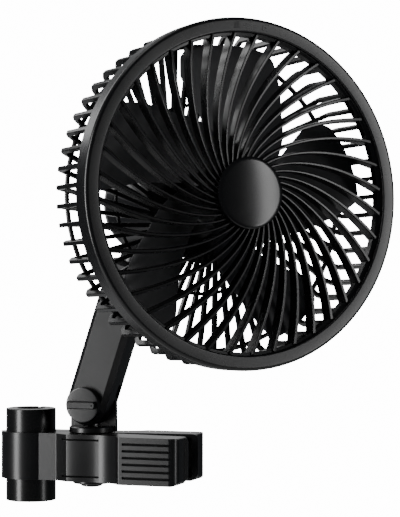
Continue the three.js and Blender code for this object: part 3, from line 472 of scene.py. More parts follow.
def cut_grips(obj, side):
    """The six finger grooves and the two thin slots, with crisp edges."""
    face = jaw_face()
    middle = (GROOVES["count"] - 1) / 2
    strips = [(i - middle) * GROOVES["pitch"] for i in range(GROOVES["count"])]
    sizes = [GROOVES[k] for k in ("height", "depth", "from", "to")]
    cut(obj, *(face_strip(face, side, z, *sizes) for z in strips))
    sizes = [SLOT[k] for k in ("height", "depth", "from", "to")]
    cut(obj, *(face_strip(face, side, z, *sizes) for z in (SLOT["z"], -SLOT["z"])))


def hinge_rod(radius, z0, z1, sides=64):
    return rod(radius, HINGE_X, 0, min(z0, z1), max(z0, z1), sides)


def make_front_jaw():
    obj = jaw_blank("front_jaw_shell", -1)
    weld(obj, *(hinge_rod(FRONT_LUG, e * POCKET_HALF, e * JAW_HALF) for e in (1, -1)))
    cut(obj, hinge_rod(PIN_HOLE, -JAW_HALF - OVER, JAW_HALF + OVER))
    soften(obj, JAW_SOFT)
    cut_grips(obj, -1)
    place(obj, CLIP, "clip", "satin", ["front_jaw"])


def make_rear_jaw():
    obj = jaw_blank("rear_jaw_shell", 1)
    reach = path_at(inset_path(coarse_face(), JAW_WALL / 2), HINGE_X - REAR_LUG)
    lug = arc(REAR_LUG, 180, 360, 28, HINGE_X, 0)
    lug += [(HINGE_X + REAR_LUG, reach), (HINGE_X - REAR_LUG, reach)]
    for e in (1, -1):
        weld(obj, prism(lug, *sorted((e * LUG_INNER, e * (POCKET_HALF + LUG_SINK)))))
    clear = FRONT_LUG + 2 * GAP
    cut(obj, *(hinge_rod(clear, e * (POCKET_HALF - GAP), e * (JAW_HALF + OVER)) for e in (1, -1)))
    cut(obj, hinge_rod(PIN_HOLE, -JAW_HALF, JAW_HALF))
    soften(obj, JAW_SOFT)
    cut_grips(obj, 1)
    place(obj, CLIP, "squeeze_jaw", "satin", ["rear_jaw"])


def make_sleeve():
    """The soft sleeve about the pole, with its slit to the rear."""
    outer = 90 + math.degrees(math.asin(SLIT_HALF / SLEEVE))
    inner = 90 + math.degrees(math.asin(SLIT_HALF / BORE))
    outline = arc(SLEEVE, outer, 540 - outer, 110) + arc(BORE, 540 - inner, inner, 80)
    obj = build("pole_sleeve_soft", prism(outline, -SLEEVE_HALF, SLEEVE_HALF))
    soften(obj, 0.6, segments=3)
    place(obj, CLIP, "clip", "liner", ["pole_sleeve"])


WASHER = {"radius": 10.8, "top": -JAW_HALF - GAP, "low": -JAW_HALF - GAP - 1.9, "chamfer": 0.5}
DISC = {"radius": 13.0, "low": JAW_HALF + GAP, "top": JAW_HALF + GAP + 3.5}
SUNK_FLOOR = DISC["top"] - 1.8
PIN = {"shank": 2.5, "head": 5.0, "head_tall": 1.2, "chamfer": 0.3}
RIVET = {"radius": 6.2, "tall": 2.0, "edge": 0.8}


def make_hinge():
    """The washer under the clip and the pin through it, with a round head at each end."""
    low, top, r = WASHER["low"], WASHER["top"], WASHER["radius"]
    chamfer = WASHER["chamfer"]
    washer = [(PIN_HOLE, low), (r - chamfer, low), (r, low + chamfer), (r, top), (PIN_HOLE, top)]
    place(build("hinge_washer_round", lathe(washer)), CLIP @ HINGE, "clip", "satin", ["hinge_washer"])
    under, r, tall, edge = low - GAP, RIVET["radius"], RIVET["tall"], RIVET["edge"]
    quarter = np.linspace(0, math.pi / 2, 9)
    dome = [(r * math.cos(a), under - edge - (tall - edge) * math.sin(a)) for a in quarter]
    shank, head, seat = PIN["shank"], PIN["head"], SUNK_FLOOR + GAP
    top, chamfer = seat + PIN["head_tall"], PIN["chamfer"]
    profile = [(0, under - tall), *dome[-2::-1], (r, under), (shank, under), (shank, seat), (head, seat)]
    profile += [(head, top - chamfer), (head - chamfer, top), (0, top)]
    place(build("hinge_pin_round", lathe(profile, 64)), CLIP @ HINGE, "clip", "gloss", ["hinge_pin"])


BOLT = 2.5
PARTING = 3.25
TONGUE = {"y": TILT.y + PARTING + GAP, "thick": 3.2, "round": 13.8, "foot": 14.0, "lift": 0.3}


def make_bracket():
    """The round disc on the clip with the tongue that stands in the arm's slot."""
    low, top, r = DISC["low"], DISC["top"], DISC["radius"]
    disc = [(0, low), (r - 0.4, low), (r, low + 0.4), (r, top - 0.6), (r - 0.6, top), (0, top)]
    obj = build("swivel_bracket_round", moved(lathe(disc), HINGE))
    foot = low + TONGUE["lift"]
    outline = [(HINGE_X - TONGUE["foot"], foot), (HINGE_X + TONGUE["foot"], foot)]
    outline += arc(TONGUE["round"], 0, 180, 48, HINGE_X, TILT.z)
    weld(obj, slab(outline, TONGUE["y"], TONGUE["y"] + TONGUE["thick"]))
    wide = PIN["head"] + GAP
    seat = [(0, low - OVER), (PIN_HOLE, low - OVER), (PIN_HOLE, SUNK_FLOOR), (wide, SUNK_FLOOR)]
    seat += [(wide, top + OVER), (0, top + OVER)]
    bolt = moved(rod(BOLT + GAP, 0, 0, -8, 8), Matrix.Translation((HINGE_X, 0, TILT.z)) @ TO_Y)
    cut(obj, bolt, moved(lathe(seat, 64), HINGE))
    soften(obj, 0.25)
    place(obj, CLIP, "bracket", "satin", ["swivel_bracket"])


SPRING = {"radius": 5.5, "wire": 0.8, "turns": 5, "half": 6.3, "reach": 57, "steps": 260, "sides": 12}


def make_spring():
    """The torsion spring about the pin, with a leg to each handle."""
    radius, wire, half, steps = (SPRING[k] for k in ("radius", "wire", "half", "steps"))
    seat = inset_path(coarse_face(), JAW_WALL + wire + GAP)
    x, y = SPRING["reach"] - HINGE_X, path_at(seat, SPRING["reach"])
    away = math.atan2(y, x) + math.acos(radius / math.hypot(x, y))
    sweep = 2 * math.pi * (SPRING["turns"] + 1) - 2 * away
    coil = [polar(radius, -away - sweep * i / steps, -half + 2 * half * i / steps) for i in range(steps + 1)]
    path = [Vector((x, -y, -half)), *coil, Vector((x, y, half))]
    section = around(SPRING["sides"], lambda a: polar(wire, a, 0))
    rings = []
    for i, point in enumerate(path):
        along = (path[min(i + 1, len(path) - 1)] - path[max(i - 1, 0)]).normalized()
        across = along.cross(Vector((0, 0, 1))).normalized()
        above = across.cross(along)
        rings.append([point + across * c.x + above * c.y for c in section])
    obj = build("torsion_spring_wire", loft(rings))
    place(obj, CLIP @ HINGE, None, "steel", ["torsion_spring"])
    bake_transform(obj)


# ---------------------------------------------------------------- arm

ARM_HALF = 12.2
ARM_DEEP = 9.75
ARM_TOP = 86.0
ARM_CORNER = 4.0
ARM_CHAMFER = 3.0
ARM_EDGE = 1.0
ARM_THROUGH = 11.0
PART_EDGE = 0.2
PART_GAP = 0.15
HOLLOW_HALF = 9.8
HOLLOW_DEEP = 7.75
HOLLOW_ENDS = (17, 62)
SCREW_HEIGHTS = (24, 56)
SCREW_HOLE = 1.5
SCREW_HEAD = 2.7
SCREW_SEAT = 7.7
FRONT_BOSS = 3.3
REAR_BOSS = 3.9
BOSS_SINK = 0.5
BOSS_FLOOR = 1.0
SLOT_HALF = 14.0
SLOT_TOP = 15.0
SLOT_END = TONGUE["y"] - TILT.y + TONGUE["thick"] + GAP
POST = 6.0
FLANGE = {"radius": 7.4, "low": 70.0, "top": 73.0}
POST_FOOT = 64.0
POST_TOP = 103.0
POST_BORE = 3.2
POST_EDGE = 0.3
STUB = {"radius": 2.4, "bore": 1.2, "low": 100.0, "top": 106.4}
COLLAR_LOW = 61.0


def arm_ring(y, inset):
    """The arm's outline at one depth: round at the foot, square with small corners at the top."""
    width, corner, top = ARM_HALF - inset, max(ARM_CORNER - inset, 0.6), ARM_TOP - inset
    outline = arc(width, 180, 360, 40)
    outline += arc(corner, 0, 90, 8, width - corner, top - corner)
    outline += arc(corner, 90, 180, 8, corner - width, top - corner)
    return [Vector((x, y, z)) for x, z in outline]


def along_y(radius, x, z, y0, y1, sides=40):
    return moved(rod(radius, 0, 0, -y1, -y0, sides), Matrix.Translation((x, 0, z)) @ TO_Y)


def screw_rods(radius, y0, y1, sides):
    return [along_y(radius, 0, z, y0, y1, sides) for z in SCREW_HEIGHTS]


def collar():
    """Cutters for the neck post and its flange."""
    post = rod(POST + GAP, 0, 0, COLLAR_LOW, ARM_TOP + OVER, 56)
    return [post, rod(FLANGE["radius"] + GAP, 0, 0, FLANGE["low"] - GAP, FLANGE["top"] + GAP, 56)]


def make_arm_front():
    end = PARTING - PART_GAP
    rings = [arm_ring(-ARM_DEEP, ARM_CHAMFER), arm_ring(-ARM_DEEP + ARM_CHAMFER, 0)]
    rings += [arm_ring(end - PART_EDGE, 0), arm_ring(end, PART_EDGE)]
    obj = soften(build("arm_front_round", loft(rings)), 0.22, angle=30)
    cut(obj, cuboid(-HOLLOW_HALF, HOLLOW_HALF, -HOLLOW_DEEP, end + OVER, *HOLLOW_ENDS))
    weld(obj, *screw_rods(FRONT_BOSS, -HOLLOW_DEEP - BOSS_SINK, end, 32))
    cut(obj, *screw_rods(SCREW_HOLE, BOSS_FLOOR - HOLLOW_DEEP, end + OVER, 24), *collar())
    cut(obj, along_y(BOLT + GAP, 0, 0, -ARM_THROUGH, ARM_THROUGH))
    place(obj, ARM, "arm", "satin", ["arm_front_shell"])


def make_arm_rear():
    rings = [arm_ring(PARTING, PART_EDGE), arm_ring(PARTING + PART_EDGE, 0)]
    for angle in np.linspace(0, math.pi / 2, 6):
        sunk, inset = ARM_EDGE * (1 - math.sin(angle)), ARM_EDGE * (1 - math.cos(angle))
        rings.append(arm_ring(ARM_DEEP - sunk, inset))
    obj = build("arm_rear_round", loft(rings))
    start = PARTING - OVER
    cut(obj, cuboid(-HOLLOW_HALF, HOLLOW_HALF, start, HOLLOW_DEEP, *HOLLOW_ENDS))
    cut(obj, cuboid(-SLOT_HALF, SLOT_HALF, start, SLOT_END, -SLOT_HALF, SLOT_TOP))
    weld(obj, *screw_rods(REAR_BOSS, PARTING, HOLLOW_DEEP + BOSS_SINK, 32))
    cut(obj, *screw_rods(SCREW_HOLE, start, ARM_THROUGH, 24))
    cut(obj, *screw_rods(SCREW_HEAD, SCREW_SEAT, ARM_THROUGH, 32), *collar())
    cut(obj, along_y(BOLT + GAP, 0, 0, -ARM_THROUGH, ARM_THROUGH))
    place(obj, ARM, "arm", "satin", ["arm_rear_shell"])


# The disc, the grip bar's half length, half height and how far it stands out, and the hole near its end
KNOB = {"radius": 10.15, "thick": 3.95, "half": 8.6, "tall": 2.3, "deep": 3.0, "hole": 0.55, "hole_in": 1.6}
KNOB_SEAT = -ARM_DEEP - GAP
KNOB_FRONT = KNOB_SEAT - KNOB["thick"]
NUT = {"across": 8.6, "deep": 2.95}


def make_knob():
    r, seat, front = KNOB["radius"], -KNOB_SEAT, -KNOB_FRONT
    profile = [(0, seat), (r - 0.3, seat), (r, seat + 0.3), (r, front - 0.7), (r - 0.25, front - 0.2)]
    profile += [(r - 0.8, front), (0, front)]
    obj = build("tilt_knob_round", moved(lathe(profile), TO_Y))
    half, tall, deep = KNOB["half"], KNOB["tall"], KNOB["deep"]
    rings = []
    for z, y in ((tall, 1.0), (tall, -0.6), (tall * 0.92, -deep * 0.75), (tall * 0.7, -deep)):
        outline = rounded_box(half - (tall - z) * 0.5, z, 0.8)
        rings.append([Vector((x, KNOB_FRONT + y, w)) for x, w in outline])
    upright = Matrix.Rotation(-LEAN, 4, "Y")
    weld(obj, moved(loft(rings), upright))
    hole = along_y(KNOB["hole"], half - KNOB["hole_in"], 0, KNOB_FRONT - 5, KNOB_FRONT - deep + 0.6, 20)
    cut(obj, moved(hole, upright))
    hexagon = arc(NUT["across"] / 2 / math.cos(math.radians(30)), 0, 300, 5)
    cut(obj, slab(hexagon, KNOB_SEAT - NUT["deep"], KNOB_SEAT + OVER))
    place(obj, ARM, "knob", "satin", ["tilt_knob"])


def rounded_box(half_x, half_z, radius):
    corners = [(0, half_x - radius, half_z - radius), (90, radius - half_x, half_z - radius)]
    corners += [(180, radius - half_x, radius - half_z), (270, half_x - radius, radius - half_z)]
    return [p for start, cx, cy in corners for p in arc(radius, start, start + 90, 4, cx, cy)]


def make_post():
    """The hollow post in the arm's top that the head swings on, with its flange and the stub on its end."""
    foot, edge, r, bore, stub_top = POST_FOOT, POST_EDGE, STUB["radius"], STUB["bore"], STUB["top"]
    low, top, wide = FLANGE["low"], FLANGE["top"], FLANGE["radius"]
    profile = [(POST_BORE, foot), (POST - edge, foot), (POST, foot + edge), (POST, low), (wide, low)]
    profile += [(wide, top), (POST, top), (POST, POST_TOP - edge), (POST - edge, POST_TOP), (r, POST_TOP)]
    profile += [(r, stub_top), (bore, stub_top), (bore, STUB["low"]), (POST_BORE, STUB["low"])]
    place(build("neck_post_round", lathe(profile, 72)), ARM, "arm", "satin", ["neck_post"])


# ---------------------------------------------------------------- head: housings and controls

HOUSING = 28.4
HOUSING_IN = 26.4
SPLIT_Z = 8.0
FRONT_Z = 54.7
DOME = [(HOUSING, SPLIT_Z), (HOUSING, -1), (27.1, -6.2), (23.2, -11.6), (16.6, -16)]
DOME_ROUND = 3.5
DOME_IN = [(18.6, -11.9), (24.2, -7), (HOUSING_IN, -0.8), (HOUSING_IN, SPLIT_Z)]
SCREW_CIRCLE = 23.2
SCREW_ANGLES = (20, 90, 160)
CAGE_SCREWS = 25.0
PANEL = 14.8
PANEL_REAR = -16.0
PANEL_FRONT = -14.0
PANEL_LEDGE = (12.8, -11.9)
PEGS = {"y": (1.5, 8.4), "radius": 1.2, "top": -11.3, "tip": 0.7, "tip_top": -9.0}
# The dome's screw bosses: radius, distance in from the outside and from the two ends, and the heads' seat
DOME_BOSS = {"radius": 4.0, "inset": 0.4, "rear": 0.2, "front": 0.05, "seat": -6.3}
# Radius and length of the bosses inside the motor housing, and how deep their holes go
CAGE_BOSS = {"radius": 2.8, "tall": 8.0, "hole": 7.0}
HOUSING_BOSS = {"radius": 3.6, "tall": 14.0, "hole": 12.0}
HOUSING_FACE = 2.5
SHAFT_HOLE = 3.5
MOTOR_SEAT = {"inner": 17.3, "outer": 19.3, "rear": 40.0}
VENT_ANGLES = (42, 55, 68, 138, 125, 112)
VENT = (19.8, 24.8, -0.7, 0.7, -16, -5)
NECK_BOSS = {"radius": 8.6, "low": -33.7, "top": -17.5}
KEY = {"x": 6.5, "y": 4.0, "radius": 2.7, "foot": 3.6, "proud": 1.2}
KEY_HOLE = 3.0
INLET = {"y": -5.0, "hole": 4.0}


def screw_spots():
    angles = [math.radians(a) for a in SCREW_ANGLES]
    return [(SCREW_CIRCLE * math.cos(a), SCREW_CIRCLE * math.sin(a)) for a in angles]


def cage_screw_spots():
    return [tuple(polar(CAGE_SCREWS, math.radians(45 + 90 * i), 0))[:2] for i in range(4)]


def make_rear_housing():
    """The dome behind the motor, with its screw bosses, vents and the boss on the neck post."""
    outer = rounded(DOME, DOME_ROUND, 6)
    seat, ledge = PANEL + GAP, PANEL_FRONT + GAP
    profile = [*outer, (seat, PANEL_REAR), (seat, ledge), (PANEL_LEDGE[0], ledge), PANEL_LEDGE, *DOME_IN]
    obj = build("rear_housing_round", lathe(profile, 128))
    inner = [(r - DOME_BOSS["inset"], z) for r, z in outer]
    envelope = lathe([(0, SPLIT_Z), *inner, (0, PANEL_REAR)], 90)
    start, end = PANEL_REAR + DOME_BOSS["rear"], SPLIT_Z - DOME_BOSS["front"]
    for x, y in screw_spots():
        boss = build("boss", rod(DOME_BOSS["radius"], x, y, start, end, 32))
        keep(boss, envelope)
        weld(obj, taken(boss))
    low, top = NECK_BOSS["low"], NECK_BOSS["top"]
    weld(obj, moved(rod(NECK_BOSS["radius"], 0, 0, low, top, 56), NECK_TO_HEAD))
    cut(obj, moved(rod(POST + GAP, 0, 0, low - 1.3, top + OVER, 56), NECK_TO_HEAD))
    for x, y in screw_spots():
        cut(obj, rod(SCREW_HOLE, x, y, PANEL_REAR - OVER, SPLIT_Z + OVER, 24))
        cut(obj, rod(SCREW_HEAD, x, y, PANEL_REAR - 4, DOME_BOSS["seat"], 32))
    for angle in VENT_ANGLES:
        cut(obj, moved(cuboid(*VENT), turn_z(math.radians(angle))))
    soften(obj, 0.25, angle=40)
    place(obj, HEAD, "head", "satin", ["rear_housing"])


def make_motor_housing():
    """The round case about the motor, with its screw bosses and the round seat of the motor."""
    rear, front, back, r = SPLIT_Z + GAP, FRONT_Z, FRONT_Z - HOUSING_FACE, HOUSING
    seat_in, seat_out, seat_rear = (MOTOR_SEAT[k] for k in ("inner", "outer", "rear"))
    profile = [(r - 0.3, rear), (r, rear + 0.3), (r, front - 1.6), (r - 0.5, front - 0.5), (r - 1.6, front)]
    profile += [(SHAFT_HOLE, front), (SHAFT_HOLE, back), (seat_in, back), (seat_in, seat_rear)]
    profile += [(seat_out, seat_rear), (seat_out, back), (HOUSING_IN, back), (HOUSING_IN, rear)]
    obj = build("motor_housing_round", lathe(profile, 128))
    radius, tall, hole = (CAGE_BOSS[k] for k in ("radius", "tall", "hole"))
    for x, y in cage_screw_spots():
        weld(obj, rod(radius, x, y, back - tall, back + BOSS_SINK, 28))
        cut(obj, rod(SCREW_HOLE, x, y, back - hole, front + OVER, 20))
    radius, tall, hole = (HOUSING_BOSS[k] for k in ("radius", "tall", "hole"))
    for x, y in screw_spots():
        weld(obj, rod(radius, x, y, rear, rear + tall, 28))
        cut(obj, rod(SCREW_HOLE, x, y, rear - OVER, rear + hole, 20))
    place(obj, HEAD, "head", "satin", ["motor_housing"])


def make_back_panel():
    """The round panel in the dome, open at the buttons and the inlet, with pegs for the circuit board."""
    r, rear, front = PANEL, PANEL_REAR, PANEL_FRONT
    profile = [(0, rear), (r - 0.4, rear), (r, rear + 0.4), (r, front), (0, front)]
    obj = build("back_panel_round", lathe(profile))
    cut(obj, *(rod(KEY_HOLE, side * KEY["x"], KEY["y"], -20, -10) for side in (1, -1)))
    cut(obj, rod(INLET["hole"], 0, INLET["y"], -20, -10))
    for y in PEGS["y"]:
        weld(obj, rod(PEGS["radius"], 0, y, front - BOSS_SINK, PEGS["top"], 20))
        weld(obj, rod(PEGS["tip"], 0, y, front, PEGS["tip_top"], 16))
    place(obj, HEAD, "head", "satin", ["back_panel"])


def make_buttons():
    """Two keys with a shallow crown and a flange behind the panel."""
    rear, r, ledge = PANEL_REAR - KEY["proud"], KEY["radius"], PANEL_FRONT + GAP
    profile = [(0, rear + 0.15), (1.6, rear), (r - 0.4, rear + 0.1), (r, rear + 0.5), (r, ledge)]
    profile += [(KEY["foot"], ledge), (KEY["foot"], ledge + 1), (0, ledge + 1)]
    for side, body, node in ((-1, "speed_key", "speed_button"), (1, "swing_key", "swing_button")):
        spot = Matrix.Translation((side * KEY["x"], KEY["y"], 0))
        place(build(node + "_round", moved(lathe(profile, 48), spot)), HEAD, body, "key", [node])


# ---------------------------------------------------------------- fan

HUB = 15.5
HUB_REAR = 74.0
HUB_FRONT = 97.0
BLADES = 5
BLADE_THICK = 1.6
BLADE_TIP = 82.0
BLADE_CROWN = 1.6
BLADE_ROOT = 14.6
# Radius, middle and half span in degrees, and half rise of a blade
STATIONS = [(BLADE_ROOT, -10, 33, 8), (31, 3, 31, 11), (43, 11, 27, 12), (55, 19.7, 23, 12)]
STATIONS += [(68, 25.2, 20.8, 11.5), (80, 27.6, 16.5, 10), (BLADE_TIP, 28.2, 16, 9.5)]
TIP_ROUND = 5.0


def station(radius):
    """Middle and half span in degrees, and half rise in millimetres, of a blade at a radius."""
    radii, *rows = zip(*STATIONS)
    middle, span, rise = (float(np.interp(radius, radii, row)) for row in rows)
    into_tip = max(0.0, radius - BLADE_TIP + TIP_ROUND) / TIP_ROUND
    round_off = TIP_ROUND * (1 - math.sqrt(max(0.0, 1 - into_tip**2)))
    return middle, span - math.degrees(round_off / radius), rise * (1 - 0.5 * round_off / TIP_ROUND)


def blade_section(radius):
    """A closed section of a blade at a radius: pitched, crowned, and thin at both edges."""
    trail, half_span, half_rise = station(radius)
    middle = (HUB_REAR + HUB_FRONT) / 2
    faces = []
    for side in (1, -1):
        row = []
        for part in -np.cos(np.linspace(0, math.pi, 17)):
            slim = side * BLADE_THICK / 2 * math.sqrt(max(0.05, 1 - part**4)) * 0.75
            height = middle - part * half_rise + BLADE_CROWN * (1 - part * part) + slim
            row.append(polar(radius, math.radians(trail + part * half_span), height))
        faces += row[::side]
    return faces


def make_fan():
    """The hub with a web behind each blade, and the blades."""
    start = BLADE_TIP - TIP_ROUND
    tip = start + TIP_ROUND * np.sin(np.linspace(0.2, math.pi / 2, 9))
    blade = loft([blade_section(r) for r in [*np.linspace(BLADE_ROOT, start, 30), *tip]])
    wall, face, front = HUB - 1.8, HUB_FRONT - 2, HUB_FRONT
    profile = [(HUB, HUB_REAR), (HUB, front - 2), (HUB - 0.6, front - 0.6), (HUB - 2, front), (1.8, front)]
    profile += [(1.8, HUB_REAR + 4), (4, HUB_REAR + 4), (4, face), (wall, face), (wall, HUB_REAR)]
    web = cuboid(3.4, wall + 0.6, -0.7, 0.7, HUB_REAR + 8, face + 0.5)
    shapes = [lathe(profile)]
    shapes += around(BLADES, lambda a: moved(blade, turn_z(a)))
    shapes += around(BLADES, lambda a: moved(web, turn_z(a)))
    # The hub, its webs and the blades take the blade finish, whose raised colour is painted light.
    place(build("fan_blade_round", merged(shapes)), HEAD, "rotor", "blade", ["fan_blade"], smooth=40)


# ---------------------------------------------------------------- guards

RING_OUT = 94.2
RING_TOP = 111.35
RING_EDGE = 2.1
RING = [(RING_OUT, 108)] + arc(RING_EDGE, 0, 90, 9, RING_OUT - RING_EDGE, RING_TOP - RING_EDGE)
RING += [(87.1, RING_TOP), (86.5, 111.1), (86.2, 110.6), (86.2, 108.8), (85.9, 108.5)]
RING += [(84.6, 108.3), (84.3, 108)]
RING += [(84.3, 103.5), (86.6, 103.5), (86.6, 108), (90.2, 108), (90.2, 102), (91.6, 102), (91.6, 108)]
VANE = {"count": 40, "inner": 16.2, "outer": 85.5, "sweep": math.radians(27), "steps": 30}
# Depth and half widths of a vane, each as its values towards the hub and at the ring
VANE_DEPTH = (5.4, 7.6)
VANE_FRONT = (0.68, 1.0)
VANE_REAR = (0.75, 1.4)
VANE_GROWS_FROM = 0.4
VANE_BEVEL = 0.42
GRILLE_DOME = {"edge": 109.4, "rise": 5.2, "radius": 86.0}
GRILLE_REAR = 108.0
GRILLE_HUB = 17.5


def dome_height(radius):
    return GRILLE_DOME["edge"] + GRILLE_DOME["rise"] * (1 - (radius / GRILLE_DOME["radius"]) ** 2)


HUB_TOP = dome_height(GRILLE_HUB) + 0.4


def vane(start):
    """One vane on a logarithmic spiral under the dome, with a bevelled front edge."""
    inner, outer, sweep, steps = (VANE[k] for k in ("inner", "outer", "sweep", "steps"))
    rings = []
    for i in range(steps + 1):
        part = i / steps
        radius = inner * (outer / inner) ** part
        angle = start - math.tan(sweep) * math.log(radius / inner)
        course = angle - sweep
        across = Vector((-math.sin(course), math.cos(course), 0))
        sizes = (VANE_FRONT, VANE_REAR, VANE_DEPTH)
        front, rear, deep = (float(np.interp(part, (VANE_GROWS_FROM, 1), ends)) for ends in sizes)
        crown, shoulder = front - VANE_BEVEL, -1.2 * VANE_BEVEL
        section = [(-crown, 0), (crown, 0), (front, shoulder), (rear, -deep + 0.5), (rear * 0.55, -deep)]
        section += [(-rear * 0.55, -deep), (-rear, -deep + 0.5), (-front, shoulder)]
        height = dome_height(radius)
        rings.append([polar(radius, angle, height + z) + across * o for o, z in section])
    return loft(rings)


HOOKS = (45, 135, 225, 315)


def ring_block(inner, outer, z0, z1, middle, half):
    outline = arc(outer, middle - half, middle + half, 6) + arc(inner, middle + half, middle - half, 6)
    return prism(outline, z0, z1)


def make_grille():
    """The ring with its bayonet hooks, the hub plate and the vanes between them."""
    r, rear, top, under = GRILLE_HUB, GRILLE_REAR, HUB_TOP, HUB_TOP - 2.4
    hub = [(r, rear), (r, top - 0.4), (r - 0.4, top), (3.3, top), (3.3, rear)]
    hub += [(5.6, rear), (5.6, under), (r - 2, under), (r - 2, rear)]
    shapes = [lathe(RING, 240), lathe(hub, 96), *around(VANE["count"], vane)]
    shapes += [ring_block(88.7, 91, 102, 103.2, middle, 3) for middle in HOOKS]
    obj = build("front_grille_round", merged(shapes))
    place(obj, HEAD, "grille", "grille", ["front_grille"], smooth=40)


MARK_LOW, MARK_TOP = RING_TOP - 0.1, RING_TOP + 0.13
# Radius and angle of each mark on the ring
SHUT_LOCK = (89.9, 104.5)
OPEN_LOCK = (90.0, 93.5)
ARROW = (89.6, 99.0)
DOT = (92.2, 99.0)


def on_ring(radius, angle):
    """A frame on the ring's face: x along the ring, y outwards."""
    return turn_z(math.radians(angle - 90)) @ Matrix.Translation((0, radius, 0))


def flat(outline):
    return prism(outline, MARK_LOW, MARK_TOP)


def padlock(shift):
    """A padlock's body, its keyhole and its shackle, which a shift to the side opens."""
    half, low, top = 1.5, -1.8, 1.1
    plate = build("plate", flat([(-half, low), (half, low), (half, top), (-half, top)]))
    cut(plate, prism(arc(0.45, 0, 330, 11, 0, -0.3), MARK_LOW - OVER, MARK_TOP + OVER))
    bow = arc(1.15, 0, 180, 12, shift, top) + arc(0.75, 180, 0, 12, shift, top)
    return merged([taken(plate), flat(bow)])


def make_marks():
    """The plain pictograms at the top of the ring: a shut and an open padlock, an arrow and a dot."""
    arrow = merged([
        flat([(-3.6, -0.16), (3.2, -0.16), (3.2, 0.16), (-3.6, 0.16)]),
        flat([(2.2, -1.2), (3.9, 0), (2.2, 1.2), (2.2, 0.8), (3.3, 0), (2.2, -0.8)]),
    ])
    dark = merged([
        moved(padlock(0), on_ring(*SHUT_LOCK)),
        moved(padlock(1.2), on_ring(*OPEN_LOCK)),
        moved(flat(arc(0.6, 0, 330, 11)), on_ring(*DOT)),
    ])
    place(build("lock_marks", dark), HEAD, "grille", "gloss")
    mirrored = on_ring(*ARROW) @ Matrix.Scale(-1, 4, (1, 0, 0))
    place(build("arrow_mark", moved(arrow, mirrored)), HEAD, "grille", "mark")


CAP = {"radius": 19.2, "top": 118.4, "rise": 1.1, "edge": 0.9, "peg": 3.0}


def make_hub_cap():
    """The smooth cap on the grille's hub, gently crowned, with its peg."""
    r, rear, peg = CAP["radius"], HUB_TOP + GAP, CAP["peg"]
    flat_r, low = r - CAP["edge"], CAP["top"] - CAP["rise"]
    crown = [(flat_r * (1 - t), low + CAP["rise"] * (1 - (1 - t) ** 2)) for t in np.linspace(0, 1, 14)]
    profile = [(0, GRILLE_REAR), (peg, GRILLE_REAR), (peg, rear), (r - 0.3, rear), (r, rear + 0.3)]
    profile += [(r, rear + 1.7), (r - 0.3, low - 0.4), *crown]
    place(build("hub_cap_round", lathe(profile, 128)), HEAD, "grille", "gloss", ["hub_cap"], smooth=50)


RIBS = 57
RIB_TANGENT = 14.0
RIB_DEEP = 1.65
RIB_WIDE = 1.2
RIB_ROUND = 2.2
# Radius and half thickness of the ring rods on the cage's back
RODS = [(83.5, 1.3), (52, 1.0)]
RIB_PATH = [(90.4, 100.2), (90.2, 70.6), (87.2, 66.6), (29.6, 56.8)]
RIM_LOW = 99.2
RIM_STEP = 101.2


def rib_turn(radius):
    far = max(radius, RIB_PATH[2][0])
    return math.acos(RIB_TANGENT / far) - math.acos(RIB_TANGENT / radius)


def rib(start):
    """One rib of the cage: back along its side, round the corner and inwards, tangent to a small circle."""
    centres = [polar(r, start + rib_turn(r), z) for r, z in rounded(RIB_PATH, RIB_ROUND, 6)]
    section = rounded_box(RIB_WIDE, RIB_DEEP, 0.5)[::2]
    rings = []
    for i, centre in enumerate(centres):
        along = (centres[min(i + 1, len(centres) - 1)] - centres[max(i - 1, 0)]).normalized()
        side = Vector((centre.y, -centre.x, 0)).normalized()
        if math.hypot(along.x, along.y) > 0.3:
            level = Vector((along.y, -along.x, 0)).normalized()
            side = level if level.dot(side) >= 0 else -level
        deep = along.cross(side).normalized()
        rings.append([centre + side * a + deep * b for a, b in section])
    return loft(rings)


def make_cage():
    """The rim with its bayonet pockets, the ribs, the ring rods and the plate on the motor housing."""
    low, step = RIM_LOW, RIM_STEP
    rim = [(88.8, low), (93.6, low), (94, low + 0.4), (94, 107.4), (93.7, 107.7), (92.1, 107.7)]
    rim += [(92.1, step), (88.8, step)]
    shapes = [lathe(rim, 240), *around(RIBS, rib)]
    for radius, half in RODS:
        height = path_at(RIB_PATH[:1:-1], radius)
        shapes.append(lathe(arc(half, 0, 330, 11, radius, height), 200))
    for middle in HOOKS:
        shapes.append(ring_block(87.1, 88.4, low, 104.6, middle, 4))
        shapes.append(ring_block(87.1, 89.6, low, step, middle, 4))
        shapes.append(ring_block(87.1, 89.9, 103.5, 104.6, middle, 4))
    obj = build("rear_cage_round", merged(shapes))
    rear, front = FRONT_Z + GAP, FRONT_Z + GAP + 3
    disc = [(22, rear), (30.6, rear), (31, rear + 0.4), (31, front - 0.6), (30.4, front), (22, front)]
    plate = build("cage_plate", lathe(disc, 96))
    cut(plate, *(rod(SCREW_HOLE, x, y, rear - OVER, front + OVER, 20) for x, y in cage_screw_spots()))
    place(obj, HEAD, "head", "grille", ["rear_cage"], smooth=40)
    place(plate, HEAD, "head", "satin", ["rear_cage"], smooth=40)


# ---------------------------------------------------------------- carried-over nodes

KEPT_SMOOTH = 32
KEPT = {
    "steel": [
        "tilt_bolt", "tilt_nut", "motor_shaft", "motor_case", "motor_end_plate", "swing_motor",
        "arm_screw_1", "arm_screw_2", "cage_screw_1", "cage_screw_2", "cage_screw_3", "cage_screw_4",
        "housing_screw_1", "housing_screw_2", "housing_screw_3",
    ],
    "brass": ["bearing_front", "bearing_rear", "swing_pinion"],
    "iron": ["motor_magnets", "motor_rotor"],
    "board": ["circuit_board"],
    "satin": ["fixed_gear", "power_inlet", "blade_clip"],
}


